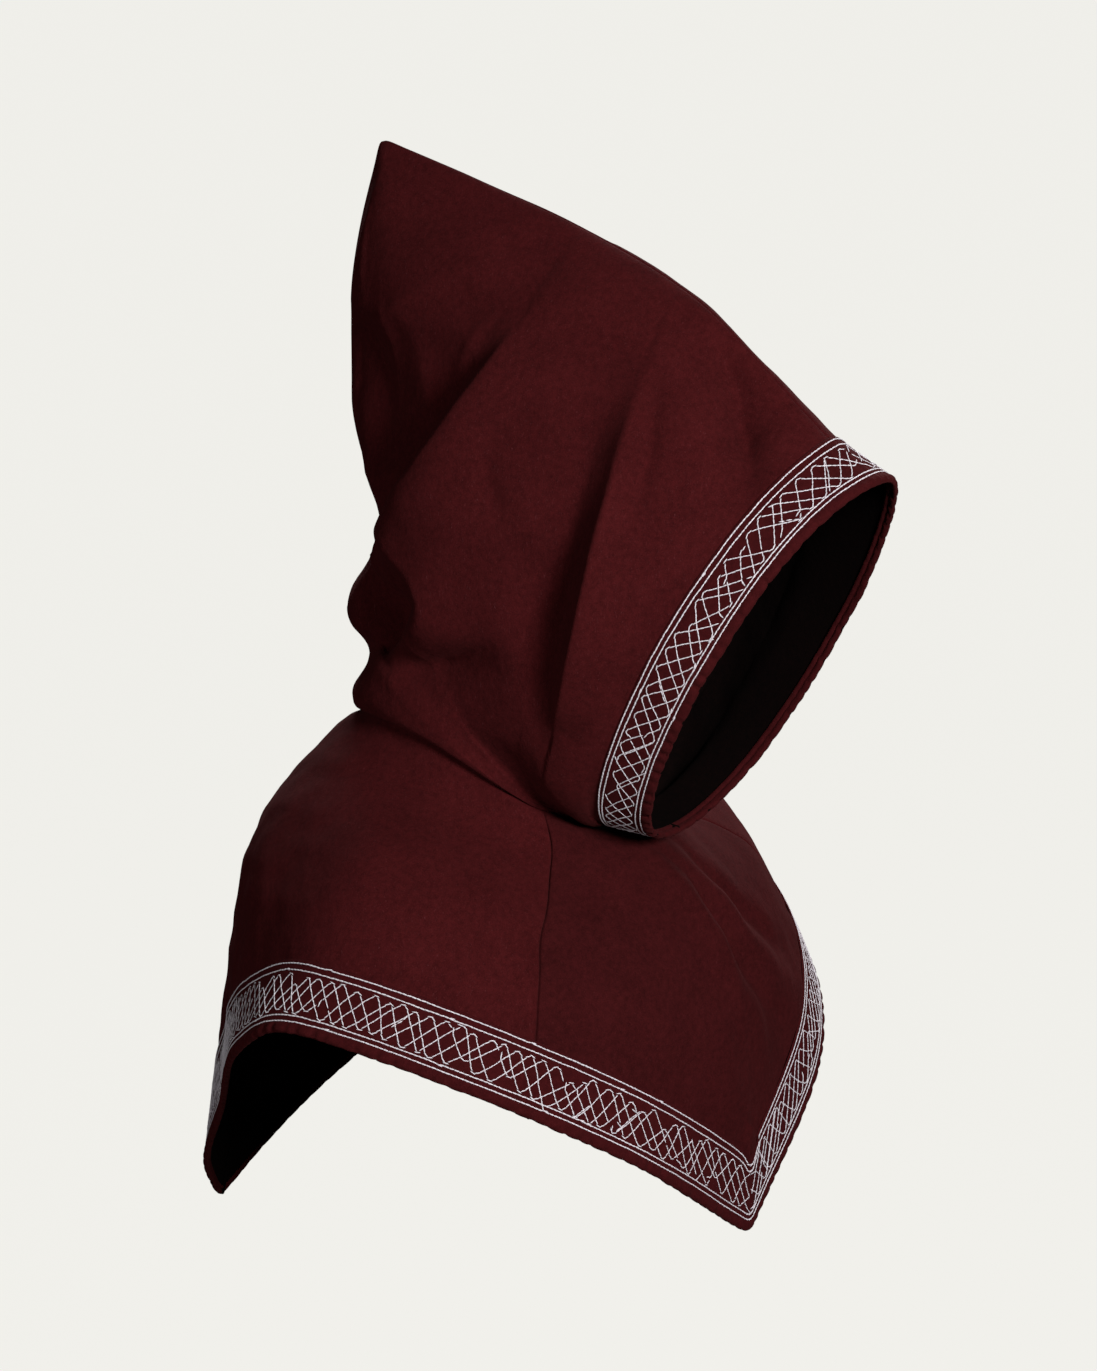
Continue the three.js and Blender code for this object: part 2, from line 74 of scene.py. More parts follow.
# folds on the side view, from (front0, up0) through (front1, up1) to (front2, up2)
# side is 1 on the wearer's right, -1 on the left and 0 on both; left and right are the widths of
# the two flanks as seen along the path, grow widens them along it and crest rounds the top
hoodFolds = {
    "columns": "side front0 up0 front1 up1 front2 up2 left right grow crest depth",
    "rows": [
        (0, -128, 80, -24, 196, 26, 300, 14, 20, -0.2, 20, 8.0),
        (0, -133, 130, -60, 218, -6, 290, 20, 12, -0.2, 12, -15.0),
        (0, -134, 63, -75, 100, -26, 149, 9, 10, 0.0, 14, -16.5),
        (0, -93, 297, -59, 289, -21, 263, 14, 17, -0.1, 23, -5.8),
        (0, -53, 72, -8, 88, 42, 101, 7, 8, 0.0, 11, -4.4),
        (1, -98, 388, -116, 345, -112, 296, 16, 22, 0.0, 10, 8.0),
        (1, 23, 304, -8, 242, -74, 158, 34, 7, -0.2, 1.8, 14.0),
        (1, -118, 276, -70, 316, 0, 342, 30, 12, -0.2, 3.0, 8.0),
        (1, -112, 304, -108, 252, -94, 200, 44, 22, 0.0, 12.0, -17.0),
        (1, 6, 318, -14, 292, -30, 258, 5, 5, 0.0, 1.5, 2.6),
        (1, 114, 284, 112, 166, 84, 66, 27, 10, 0.0, 1.6, 20.0),
        (1, 94, 262, 88, 164, 64, 76, 9, 16, 0.0, 6.0, -6.0),
        (1, 121, 286, 130, 246, 133, 204, 5, 5, 0.0, 2.0, -5.5),
        (1, 140, 320, 174, 266, 200, 214, 10, 10, 0.0, 5.0, -18.0),
        (1, 140, 293, 159, 256, 165, 217, 14, 12, 0.0, 7.8, 3.5),
        (1, -74, 176, -14, 134, -66, 92, 26, 11, -0.1, 4.5, 14.5),
        (1, -86, 140, -68, 114, -88, 84, 12, 12, 0.0, 6.0, -11.0),
        (1, -76, 84, -20, 90, 40, 116, 8, 11, -0.1, 3.0, -9.0),
        (1, -78, 64, 0, 66, 76, 30, 18, 16, 0.0, 14.0, 4.0),
        (1, 76, 186, 70, 140, 64, 96, 16, 11, 0.1, 13.0, -6.0),
        (1, 30, 233, 32, 211, 46, 195, 6, 9, 0.0, 5.0, -4.2),
        (1, 5, 374, 18, 358, 18, 346, 12, 12, 0.0, 8.0, -3.4),
        (1, -1, 267, 10, 199, 4, 129, 30, 24, -0.2, 15.0, 5.5),
        (-1, -96, 390, -118, 350, -114, 300, 16, 22, 0.0, 10, 7.0),
        (-1, 46, 318, 6, 236, -66, 152, 34, 8, -0.2, 2.2, 12.0),
        (-1, -116, 268, -66, 308, 2, 336, 30, 12, -0.2, 3.0, 7.0),
        (-1, -112, 294, -110, 244, -94, 190, 40, 16, 0.0, 8.0, -10.0),
        (-1, 102, 286, 106, 168, 78, 60, 24, 10, 0.3, 3.2, 12.0),
        (-1, 138, 306, 168, 262, 184, 214, 7, 6, 0.0, 3.5, -8.0),
        (-1, -66, 168, -10, 128, -62, 88, 26, 10, -0.1, 3.6, 11.0),
        (-1, -82, 134, -64, 110, -84, 82, 12, 12, 0.0, 6.0, -9.0),
        (-1, -58, 86, -14, 82, 34, 102, 9, 14, -0.1, 4.5, -5.5),
        (-1, -60, 54, -4, 54, 48, 32, 20, 10, 0.0, 14.0, 3.0),
        (-1, 66, 186, 58, 126, 52, 70, 14, 11, 0.1, 13.0, -8.5),
        (-1, 26, 262, 30, 236, 44, 204, 7, 9, 0.0, 5.0, -3.6),
        (-1, 0, 262, 12, 196, 8, 132, 30, 24, -0.2, 15.0, 5.5),
    ],
    "steps": 48, "endSwell": 0.04, "swellPower": 0.7,
    # the folds fade out beside the seams (mm), the band (share of the rows) and the neck (mm)
    "seamCalm": 15, "bandCalm": 0.05, "neckCalm": 30,
}

# one row for each direction round the neck, in degrees from the front
mantleForm = {
    "columns": "turn neckDrop collarFront collarSide collarUp chestFront chestSide chestUp"
               " hemFront hemSide hemUp",
    "rows": [
        (0, 0.6, 108, 0, -42, 159, 0, -135, 170, 0, -294),
        (32, 1.4, 88, 46, -35, 135, 79, -103, 152, 117, -208),
        (62, 1.6, 49, 80, -19, 80, 139, -66, 76, 202, -146),
        (90, 0.8, -15, 99, 15, -10, 175, -30, -30, 228, -122),
        (118, 0.6, -78, 87, 29, -100, 148, -26, -105, 196, -160),
        (148, 0.6, -121, 52, 26, -166, 91, -47, -200, 94, -256),
        (166, 0.6, -133, 24, 23, -194, 46, -60, -254, 43, -323),
        (180, 0.6, -136, 0, 21, -202, 0, -68, -278, 0, -369),
    ],
    "knots": (0, 0.16, 0.5, 1), "neckPull": 1.1, "hemPull": 0.9, "bandWidth": 43, "pointRound": 1.6,
    "seamDrop": (0, 0.1, 0.2, 0.4, 0.6, 0.8, 1), "seamTurn": (38, 50, 57, 58.4, 56.3, 53.1, 50.4),
}

mantleFolds = {
    "columns": "turn0 turn1 drop0 drop1 width depth",
    "rows": [
        (10, -14, 0.10, 0.80, 5, 5),
        (3, -21, 0.10, 0.76, 4, -6),
        (-5, -28, 0.10, 0.72, 5, 4),
        (-12, -34, 0.10, 0.66, 4, -5),
        (6, 10, 0.40, 0.88, 5, 3),
        (-3, -1, 0.45, 0.88, 5, -2.5),
        (92, 82, 0.25, 0.95, 12, 6),
        (126, 104, 0.25, 0.90, 8, -3),
        (140, 134, 0.35, 0.95, 5, 2),
        (52, 40, 0.30, 0.90, 9, -3),
        (-112, -96, 0.25, 0.90, 9, -7),
        (-84, -74, 0.30, 0.95, 10, 4),
        (-44, -38, 0.70, 1.30, 16, 6),
    ],
}


def columnsOf(form):
    values = np.array(form["rows"], float)
    return dict(zip(form["columns"].split(), values.T))


hoodTable = columnsOf(hoodForm)
mantleTable = columnsOf(mantleForm)


def cubic(t, start, end, leave, arrive, width):
    # from start to end while t goes from 0 to 1, with these slopes at the two ends
    bend = leave * (t**3 - 2 * t**2 + t) + arrive * (t**3 - t**2)
    return start * (2 * t**3 - 3 * t**2 + 1) + end * (3 * t**2 - 2 * t**3) + bend * width


def smoothCurve(knots, values, at, corner=None):
    # a curve through the values that never overshoots them, with a sharp bend at the corner
    knots, values = np.asarray(knots, float), np.asarray(values, float)
    width = np.diff(knots)
    slope = np.diff(values) / width
    last = len(knots) - 1
    arrive = np.concatenate([slope[:1], slope])
    leave = np.concatenate([slope, slope[-1:]])
    for k in range(1, last):
        if knots[k] == corner:
            continue
        even = (slope[k - 1] * width[k] + slope[k] * width[k - 1]) / (width[k - 1] + width[k])
        arrive[k] = leave[k] = even if slope[k - 1] * slope[k] > 0 else 0
    at = np.asarray(at, float)
    k = np.clip(np.searchsorted(knots, at, side="right") - 1, 0, last - 1)
    return cubic((at - knots[k]) / width[k], values[k], values[k + 1], leave[k], arrive[k + 1], width[k])


def unit(vectors):
    return vectors / np.maximum(np.linalg.norm(vectors, axis=-1, keepdims=True), 1e-9)


def share(values):
    return np.clip(values, 0, 1)


def eased(values):
    values = share(values)
    return values**2 * (3 - 2 * values)


def lengthsAlong(points):
    # how far along a line of points each of them is
    return np.concatenate([[0], np.cumsum(np.linalg.norm(np.diff(points, axis=0), axis=-1))])


def hoodSurface(u, v):
    # u goes round a section, from 0 on the crown and the nape to 1 or -1 under the chin
    # v goes from 0 at the face opening over the peak to 1 at the neck seam
    u, v = np.broadcast_arrays(np.asarray(u, float), np.asarray(v, float))
    at = {name: smoothCurve(hoodTable["v"], hoodTable[name], v, peakRow) for name in hoodTable}
    upward, outward = np.cos(np.pi * np.abs(u)), np.abs(np.sin(np.pi * np.abs(u)))
    full = np.where(upward > 0, at["topFull"], at["lowFull"])
    reach = (np.abs(upward)**full + outward**full)**(-1 / full)
    along = at["widest"] + np.where(upward > 0, 1 - at["widest"], at["widest"]) * upward * reach
    riseFront, riseUp = at["topFront"] - at["lowFront"], at["topUp"] - at["lowUp"]
    push = at["bow"] * 4 * along * (1 - along) + at["tip"] * np.exp(-(u / hoodForm["tipSpread"])**2)
    push = push / np.hypot(riseFront, riseUp)
    front = at["lowFront"] + riseFront * along + riseUp * push
    up = at["lowUp"] + riseUp * along - riseFront * push
    return np.stack([front, np.sign(u) * at["half"] * outward * reach, up], -1)


def foldHeight(front, up, side, folds):
    # how far the folds lift the cloth, along its normal, at places on the side view
    height = np.zeros_like(front)
    for row in folds["rows"]:
        fold = dict(zip(folds["columns"].split(), row))
        if fold["side"] == -side:
            continue
        start, end = np.array([fold["front0"], fold["up0"]]), np.array([fold["front2"], fold["up2"]])
        pull = 2 * np.array([fold["front1"], fold["up1"]]) - (start + end) / 2
        t = np.linspace(0, 1, folds["steps"] + 1)[:, None]
        path = (1 - t)**2 * start + 2 * t * (1 - t) * pull + t**2 * end
        best, along, hand = np.full(front.shape, 1e9), np.zeros(front.shape), np.zeros(front.shape)
        for k, (a, b) in enumerate(zip(path[:-1], path[1:])):
            way, size = b - a, np.sum((b - a)**2)
            x, y = front - a[0], up - a[1]
            part = share((x * way[0] + y * way[1]) / size)
            far = np.hypot(x - part * way[0], y - part * way[1])
            nearer = far < best
            along = np.where(nearer, (k + part) / folds["steps"], along)
            hand = np.where(nearer, way[0] * y - way[1] * x, hand)
            best = np.minimum(best, far)
        width = np.where(hand > 0, fold["left"], fold["right"]) * np.exp(fold["grow"] * (along - 0.5))
        inside = folds["endSwell"] + (1 - 2 * folds["endSwell"]) * along
        swell = np.sin(np.pi * inside)**folds["swellPower"]
        flank = np.sqrt(best**2 + fold["crest"]**2) - fold["crest"]
        height += fold["depth"] * np.exp(-flank / width) * swell
    return height


def mantleSurface(turn, drop):
    # turn is in degrees from the front, plus to the right; drop goes from 0 at the neck seam to 1 at the hem
    turn, drop = np.broadcast_arrays(np.asarray(turn, float), np.asarray(drop, float))
    away = np.clip(np.abs(turn), 0, 180)
    at = {name: smoothCurve(mantleTable["turn"], mantleTable[name], away) for name in mantleTable}
    # the two points of the hem are rounded a little
    blunt = np.hypot(away, mantleForm["pointRound"])
    blunt = 180 - np.hypot(180 - blunt, mantleForm["pointRound"])
    for name in ("hemFront", "hemUp"):
        at[name] = smoothCurve(mantleTable["turn"], mantleTable[name], blunt)
    # the neck seam follows the hood, and stays just off the centre back, where the hood has no side
    neck = hoodSurface(np.maximum(1 - away / 180, 1e-9), np.ones_like(away))
    neck[..., 2] -= at["neckDrop"]
    points = [neck]
    for name in ("collar", "chest", "hem"):
        points.append(np.stack([at[name + "Front"], at[name + "Side"], at[name + "Up"]], -1))
    knots = np.array(mantleForm["knots"], float)
    span = np.diff(knots)
    lean = [(points[k + 1] - points[k]) / span[k] for k in range(3)]
    leans = [lean[0] * mantleForm["neckPull"]]
    for k in (1, 2):
        leans.append((lean[k - 1] * span[k] + lean[k] * span[k - 1]) / (span[k - 1] + span[k]))
    leans.append(lean[2] * mantleForm["hemPull"])
    result = np.zeros(turn.shape + (3,))
    for k in range(3):
        t = ((drop - knots[k]) / span[k])[..., None]
        piece = cubic(t, points[k], points[k + 1], leans[k], leans[k + 1], span[k])
        here = (drop > knots[k]) if k else np.full(drop.shape, True)
        result = np.where(here[..., None], piece, result)
    result[..., 1] *= np.where(turn < 0, -1, 1)
    return result


def mantlePoints(turn, drop):
    # the mantle with its folds
    turn, drop = np.broadcast_arrays(np.asarray(turn, float), np.asarray(drop, float))
    points = mantleSurface(turn, drop)
    height = np.zeros(turn.shape)
    for row in mantleFolds["rows"]:
        fold = dict(zip(mantleFolds["columns"].split(), row))
        along = share((drop - fold["drop0"]) / (fold["drop1"] - fold["drop0"]))
        centre = fold["turn0"] + (fold["turn1"] - fold["turn0"]) * along
        height += fold["depth"] * np.exp(-((turn - centre) / fold["width"])**2) * np.sin(np.pi * along)
    turnStep, dropStep = 0.2, 2e-3
    across = mantleSurface(turn + turnStep, drop) - mantleSurface(turn - turnStep, drop)
    down = mantleSurface(turn, np.minimum(drop + dropStep, 1)) - mantleSurface(turn, drop - dropStep)
    out = unit(np.cross(across, down))
    inward = (out[..., 2] < 0) & (out[..., 0] * points[..., 0] + out[..., 1] * points[..., 1] < 0)
    out = np.where(inward[..., None], -out, out)
    return points + out * height[..., None]


def bandStart(turn):
    # the drop at which the hem band begins, so that it is as wide everywhere
    step = 0.02
    inside = np.clip(np.abs(turn), 1, 179)
    run = unit(mantleSurface(inside + 1, 1) - mantleSurface(inside - 1, 1))
    fall = mantleSurface(inside, 1) - mantleSurface(inside, 1 - step)
    square = fall - run * np.sum(fall * run, -1, keepdims=True)
    return 1 - step * mantleForm["bandWidth"] / np.linalg.norm(square, axis=-1)


def toFrame(points):
    return np.stack([-points[..., 1], seatFront - points[..., 0], points[..., 2] - seatUp], -1) / 1000


def wander(positions, spacing, seed):
    # smooth random values between -1 and 1 along a length
    positions = np.asarray(positions, float)
    low = math.floor(positions.min() / spacing) - 1
    knots = np.arange(low, math.ceil(positions.max() / spacing) + 2)
    values = np.random.default_rng(seed).uniform(-1, 1, len(knots))
    t = positions / spacing - knots[0]
    k = np.clip(t.astype(int), 0, len(knots) - 2)
    blend = eased(t - k)
    return values[k] * (1 - blend) + values[k + 1] * blend


def gradedShares(total, cell, ends):
    # shares of a length, close together near its two ends, which are seams
    ends = np.array(ends, float)
    middle = np.linspace(ends[-1], total - ends[-1], round((total - 2 * ends[-1]) / cell) + 1)
    return np.concatenate([ends, middle[1:-1], total - ends[::-1]]) / total


def blurred(grid, sigma, axis):
    # a grid smoothed along one axis, sigma in rows
    reach = math.ceil(3 * sigma)
    weights = np.exp(-(np.arange(-reach, reach + 1) / sigma)**2 / 2)
    padded = np.pad(grid, [(reach, reach) if k == axis else (0, 0) for k in range(grid.ndim)], mode="edge")
    rows = np.arange(grid.shape[axis])
    total = sum(weight * np.take(padded, rows + k, axis) for k, weight in enumerate(weights))
    return total / weights.sum()


def unevenness(points, waves, seed):
    # a sum of plane waves: each entry of waves is (wavelength, height, how many)
    rng = np.random.default_rng(seed)
    height = np.zeros(points.shape[:-1])
    for length, size, count in waves:
        for _ in range(count):
            way = rng.normal(size=3)
            way *= 2 * np.pi / (length * rng.uniform(0.7, 1.4) * np.linalg.norm(way))
            height += size / math.sqrt(count) * np.sin(points @ way + rng.uniform(0, 6.28))
    return height


def evenColumns(points, shares):
    # each row of points again, at these shares of its own length
    steps = np.linalg.norm(np.diff(points, axis=1), axis=-1)
    length = np.concatenate([np.zeros((len(points), 1)), np.cumsum(steps, 1)], 1)
    rows = []
    for line, reach in zip(points, length):
        at = shares * reach[-1]
        rows.append(np.stack([np.interp(at, reach, line[:, k]) for k in range(3)], -1))
    return np.array(rows)


def gridNormals(points, outward):
    across, down = np.gradient(points, axis=1), np.gradient(points, axis=0)
    normals = unit(np.cross(across, down))
    return normals * np.sign(np.sum(normals * outward))


def newObject(name, data):
    thing = bpy.data.objects.new(name, data)
    bpy.context.scene.collection.objects.link(thing)
    return thing


def meshPiece(name, vertices, faces, materials, slots=None):
    mesh = bpy.data.meshes.new(name)
    mesh.from_pydata(vertices.tolist(), [], faces)
    for material in materials:
        mesh.materials.append(material)
    if slots is not None:
        mesh.polygons.foreach_set("material_index", slots)
    mesh.polygons.foreach_set("use_smooth", np.full(len(mesh.polygons), True))
    mesh.update()
    return newObject(name, mesh)


def outwardFaces(vertices, faces):
    a, b, c, d = (vertices[faces[:, k]] for k in range(4))
    volume = np.sum(a * np.cross(b, c)) + np.sum(a * np.cross(c, d))
    return faces if volume > 0 else faces[:, ::-1]


def clothWall(name, outer, normals, materials, edgeRound, hiddenRows=0, half=0):
    # outer is a grid; edgeRound is how far the first and last row and column bulge, in mm
    # the first material is for the outside, the second, near black as painted shade, for the inside and the
    # hidden first rows
    rows, cols = outer.shape[:2]
    inner = outer - normals * clothThickness
    if half:
        # the inside of a half stays on its own side of the centre plane
        inner[..., 1] = half * np.maximum(half * inner[..., 1], 0)
    grid = np.arange(rows * cols).reshape(rows, cols)
    quads = np.stack([grid[:-1, :-1], grid[:-1, 1:], grid[1:, 1:], grid[1:, :-1]], -1).reshape(-1, 4)
    below = rows * cols
    loop = np.concatenate([grid[0, :-1], grid[:-1, -1], grid[-1, :0:-1], grid[:0:-1, 0]])
    down, across = unit(np.gradient(outer, axis=0)), unit(np.gradient(outer, axis=1))
    away = np.zeros_like(outer)
    away[0] -= down[0] * edgeRound[0]
    away[-1] += down[-1] * edgeRound[1]
    away[:, 0] -= across[:, 0] * edgeRound[2]
    away[:, -1] += across[:, -1] * edgeRound[3]
    middle = ((outer + inner) / 2 + away).reshape(-1, 3)[loop]
    ring = 2 * below + np.arange(len(loop))
    nextLoop, nextRing = np.roll(loop, -1), np.roll(ring, -1)
    rims = [
        np.stack([nextLoop, loop, ring, nextRing], -1),
        np.stack([nextRing, ring, loop + below, nextLoop + below], -1),
    ]
    faces = np.concatenate([quads, *rims, quads[:, ::-1] + below])
    slots = np.zeros(len(faces), int)
    slots[len(quads) + len(loop):] = 1
    slots[len(quads):len(quads) + cols - 1] = 1
    slots[:hiddenRows * (cols - 1)] = 1
    vertices = toFrame(np.concatenate([outer.reshape(-1, 3), inner.reshape(-1, 3), middle]))
    faces = outwardFaces(vertices, faces)
    return meshPiece(name, vertices, faces.tolist(), materials, slots)


def seamDip(total, shares, values):
    # how far the cloth pulls in beside the seams at its two ends
    reach = np.minimum(shares, 1 - shares) * total
    crease = values["creaseDepth"] * np.exp(-(reach / values["creaseWidth"])**2)
    swell = values["seamDepth"] * np.exp(-(reach / values["seamWidth"])**2)
    return -(crease + swell)


def finish(piece, slot, *nodes):
    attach(piece, "root")
    if nodes:
        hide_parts(*nodes)


# materials

def newMaterial(name):
    material = bpy.data.materials.new(name)
    material.use_nodes = True
    return material, material.node_tree, material.node_tree.nodes["Principled BSDF"]


def fillSockets(tree, node, inputs):
    # a socket as the value is linked, and any other value is set
    for key, value in inputs.items():
        if isinstance(value, bpy.types.NodeSocket):
            tree.links.new(value, node.inputs[key])
        else:
            node.inputs[key].default_value = value


def addNode(tree, kind, inputs=None, **settings):
    node = tree.nodes.new(kind)
    for key, value in settings.items():
        setattr(node, key, value)
    fillSockets(tree, node, inputs or {})
    return node


def mathNode(tree, operation, *inputs):
    return addNode(tree, "ShaderNodeMath", dict(enumerate(inputs)), operation=operation).outputs[0]


def noiseNode(tree, place, scale, detail, **inputs):
    inputs = {"Vector": place, "Scale": scale, "Detail": detail, **inputs}
    return addNode(tree, "ShaderNodeTexNoise", inputs).outputs[0]


def colorMix(tree, blend, low, high):
    return addNode(tree, "ShaderNodeMix", {0: blend, 6: low, 7: high}, data_type="RGBA").outputs[2]


def napGroup():
    # the colour and the height of fulled wool: soft patches, felt, grain and a few pale fibres
    group = bpy.data.node_groups.new("woolNap", "ShaderNodeTree")
    for name, kind, value in (
        ("Deep", "NodeSocketColor", (0.02, 0.003, 0.003, 1)),
        ("Light", "NodeSocketColor", (0.06, 0.01, 0.01, 1)),
        ("Lint", "NodeSocketColor", (0.1, 0.03, 0.03, 1)),
        ("Patch", "NodeSocketFloat", 28.0),
        ("Felt", "NodeSocketFloat", 260.0),
        ("Grain", "NodeSocketFloat", 1300.0),
    ):
        group.interface.new_socket(name=name, in_out="INPUT", socket_type=kind).default_value = value
    group.interface.new_socket(name="Color", in_out="OUTPUT", socket_type="NodeSocketColor")
    group.interface.new_socket(name="Height", in_out="OUTPUT", socket_type="NodeSocketFloat")
    given = addNode(group, "NodeGroupInput").outputs
    place = addNode(group, "ShaderNodeTexCoord").outputs["Object"]
    patch = noiseNode(group, place, given["Patch"], 3.0)
    felt = noiseNode(group, place, given["Felt"], 5.0, Roughness=0.62)
    grain = noiseNode(group, place, given["Grain"], 3.0, Roughness=0.7)
    drawn = addNode(group, "ShaderNodeMapping", {"Vector": place, "Scale": (2.4, 2.4, 0.5),
                                                 "Rotation": (0.2, 0.3, 0.1)}).outputs[0]
    fibre = noiseNode(group, drawn, 620.0, 4.0, Distortion=1.2)
    mixed = mathNode(group, "MULTIPLY", patch, 0.4)
    mixed = mathNode(group, "MULTIPLY_ADD", felt, 0.9, mixed)
    mixed = mathNode(group, "MULTIPLY_ADD", grain, 1.1, mixed)
    level = addNode(group, "ShaderNodeMapRange", {"Value": mixed, "From Min": 0.90, "From Max": 1.50})
    base = colorMix(group, level.outputs[0], given["Deep"], given["Light"])
    flecks = addNode(group, "ShaderNodeMapRange", {"Value": fibre, "From Min": 0.62, "From Max": 0.78,
                                                   "To Max": 0.55})
    color = colorMix(group, flecks.outputs[0], base, given["Lint"])
    height = mathNode(group, "MULTIPLY", grain, 0.35)
    height = mathNode(group, "MULTIPLY_ADD", felt, 1.0, height)
    height = mathNode(group, "MULTIPLY_ADD", fibre, 0.25, height)
    addNode(group, "NodeGroupOutput", {"Color": color, "Height": height})
    return group


nap = napGroup()


def woolMaterial(name, values):
    material, tree, shader = newMaterial(name)
    colors = {key: (*values[key.lower()], 1) for key in ("Deep", "Light", "Lint")}
    cloth = addNode(tree, "ShaderNodeGroup", colors, node_tree=nap)
    bump = addNode(tree, "ShaderNodeBump", {"Height": cloth.outputs["Height"], "Strength": values["bump"],
                                            "Distance": values["bumpDepth"]})
    fillSockets(tree, shader, {
        "Base Color": cloth.outputs["Color"], "Normal": bump.outputs[0],
        "Roughness": 0.95, "Specular IOR Level": 0.06,
        "Sheen Weight": values["sheen"], "Sheen Roughness": 0.5, "Sheen Tint": (*values["sheenTint"], 1),
    })
    return material


fulled = {"bump": 0.6, "bumpDepth": 0.0007, "sheen": 0.04, "sheenTint": (0.9, 0.2, 0.2)}
clothWool = woolMaterial("burgundyWool", {
    **fulled,
    "deep": (0.032, 0.0030, 0.0035), "light": (0.069, 0.0074, 0.0084), "lint": (0.15, 0.039, 0.044),
})
# a darker copy of the burgundy wool for the front panel: painted shade
frontWoolPaintedShade = woolMaterial("burgundyWoolFrontPaintedShade", {
    **fulled,
    "deep": (0.026, 0.0027, 0.0031), "light": (0.057, 0.0065, 0.0074), "lint": (0.100, 0.019, 0.022),
})
# the same wool painted near black: painted shade on the inside of the cloth and on the hidden rows, where
# little light gets in
insideWoolPaintedShade = woolMaterial("insideWoolPaintedShade", {
    "deep": (0.0016, 0.0007, 0.0006), "light": (0.0048, 0.0015, 0.0013), "lint": (0.009, 0.003, 0.0027),
    "bump": 0.5, "bumpDepth": 0.0006, "sheen": 0.0, "sheenTint": (1, 1, 1),
})
bandWool = woolMaterial("bandWool", {
    **fulled, "bumpDepth": 0.0006,
    "deep": (0.032, 0.0032, 0.0038), "light": (0.060, 0.0064, 0.0074), "lint": (0.095, 0.016, 0.018),
})


def threadMaterial(values):
    material, tree, shader = newMaterial("silverWhiteThread")
    place = addNode(tree, "ShaderNodeTexCoord").outputs["Object"]
    tone = noiseNode(tree, place, 90.0, 2.0)
    color = colorMix(tree, tone, (*values["shade"], 1), (*values["light"], 1))
    twist = noiseNode(tree, place, 2600.0, 2.0)
    bump = addNode(tree, "ShaderNodeBump", {"Height": twist, "Strength": 0.3, "Distance": 0.0002})
    fillSockets(tree, shader, {
        "Base Color": color, "Normal": bump.outputs[0], "Roughness": values["roughness"],
        "Specular IOR Level": 0.4, "Sheen Weight": 0.15,
    })
    return material


thread = threadMaterial({"shade": (0.66, 0.60, 0.66), "light": (0.92, 0.87, 0.91), "roughness": 0.5})
print("materials made")

# the cloth of the hood and the mantle

wallValues = {
    "hoodCell": 3.2, "mantleCell": 3.4,                         # mesh size, mm
    "seamSteps": (0, 0.35, 0.8, 1.4, 2.2, 3.4, 5.2, 7.6),       # columns beside a seam, mm
    "creaseDepth": 1.5, "creaseWidth": 0.8,                     # the sharp crease at a seam, mm
    "seamDepth": 0.6, "seamWidth": 4.0,                         # the soft dip around it, mm
    "roundAcross": 5.0, "roundDown": 3.5,        # rounds the widest line of the hood, cells
    "roundFrom": 8.0, "roundOver": 40.0,         # and leaves the seams alone, mm
    "neckSteady": 0.03,                          # and the last rows, share of the rows
    "tipRound": 1.8, "tipReach": 24.0,           # rounds the peak, cells and mm
    "neckRound": 8.0, "neckFrom": 0.84, "neckOver": 0.05,       # cells and shares of the rows
    "waves": ((60, 0.9, 6), (28, 0.35, 8), (12, 0.07, 10)),
    "hoodEdges": (0.6, 2.4, 0.4, 0.4), "mantleEdges": (0, 0.8, 0.5, 0.5),    # mm
    # shares of the mantle's drop: how far it runs up inside the neck, from where its outside is
    # hidden there, and over what the waves and the seams' dips begin below the neck and above the hem
    "allowance": 0.05, "hiddenFrom": 0.005, "wavesNeck": 0.05, "wavesHem": 0.15, "dipNeck": 0.06,
}


def hoodRows():
    # rows at even steps along the crown and down the back, with one at the peak
    rows = []
    for low, high in ((0, peakRow), (peakRow, 1)):
        fine = np.linspace(low, high, 600)
        length = lengthsAlong(hoodSurface(crown, fine))
        count = max(2, round(length[-1] / wallValues["hoodCell"]))
        rows.append(np.interp(np.linspace(0, length[-1], count + 1), length, fine))
    return np.concatenate([rows[0], rows[1][1:]])


def evenGrid(points, cell):
    # the columns again, even but for the fine ones beside the seams, and the widest row's length
    longest = np.linalg.norm(np.diff(points, axis=1), axis=-1).sum(1).max()
    shares = gradedShares(longest, cell, wallValues["seamSteps"])
    return evenColumns(points, shares), shares, longest


def roundedHood(points, v, reach):
    # softens the widest line and the peak
    calm = eased((reach - wallValues["roundFrom"]) / wallValues["roundOver"])[None, :, None]
    rounded = blurred(blurred(points, wallValues["roundAcross"], 1), wallValues["roundDown"], 0)
    steady = share(np.minimum(v / faceBandEnd - 1, (1 - v) / wallValues["neckSteady"]))[:, None, None]
    points = points + (rounded - points) * calm * steady
    tip = hoodSurface(crown, peakRow)
    near = np.exp(-(np.linalg.norm(points - tip, axis=-1, keepdims=True) / wallValues["tipReach"])**2)
    return points + (blurred(points, wallValues["tipRound"], 0) - points) * near


def foldedHood(points, v, side, outward):
    # adds the folds and small waves, which fade out beside the seams, the band and the neck
    fade = share(np.abs(points[..., 1]) / hoodFolds["seamCalm"])
    fade = fade * share((v - faceBandEnd) / hoodFolds["bandCalm"])[:, None]
    steps = np.linalg.norm(np.diff(points[::-1], axis=0), axis=-1)
    toNeck = np.concatenate([np.zeros((1, points.shape[1])), np.cumsum(steps, 0)])[::-1]
    fade = fade * eased(toNeck / hoodFolds["neckCalm"])
    height = foldHeight(points[..., 0], points[..., 2], side, hoodFolds)
    height = height + unevenness(points, wallValues["waves"], 5 + side)
    return points + gridNormals(points, outward) * (fade * height)[..., None]


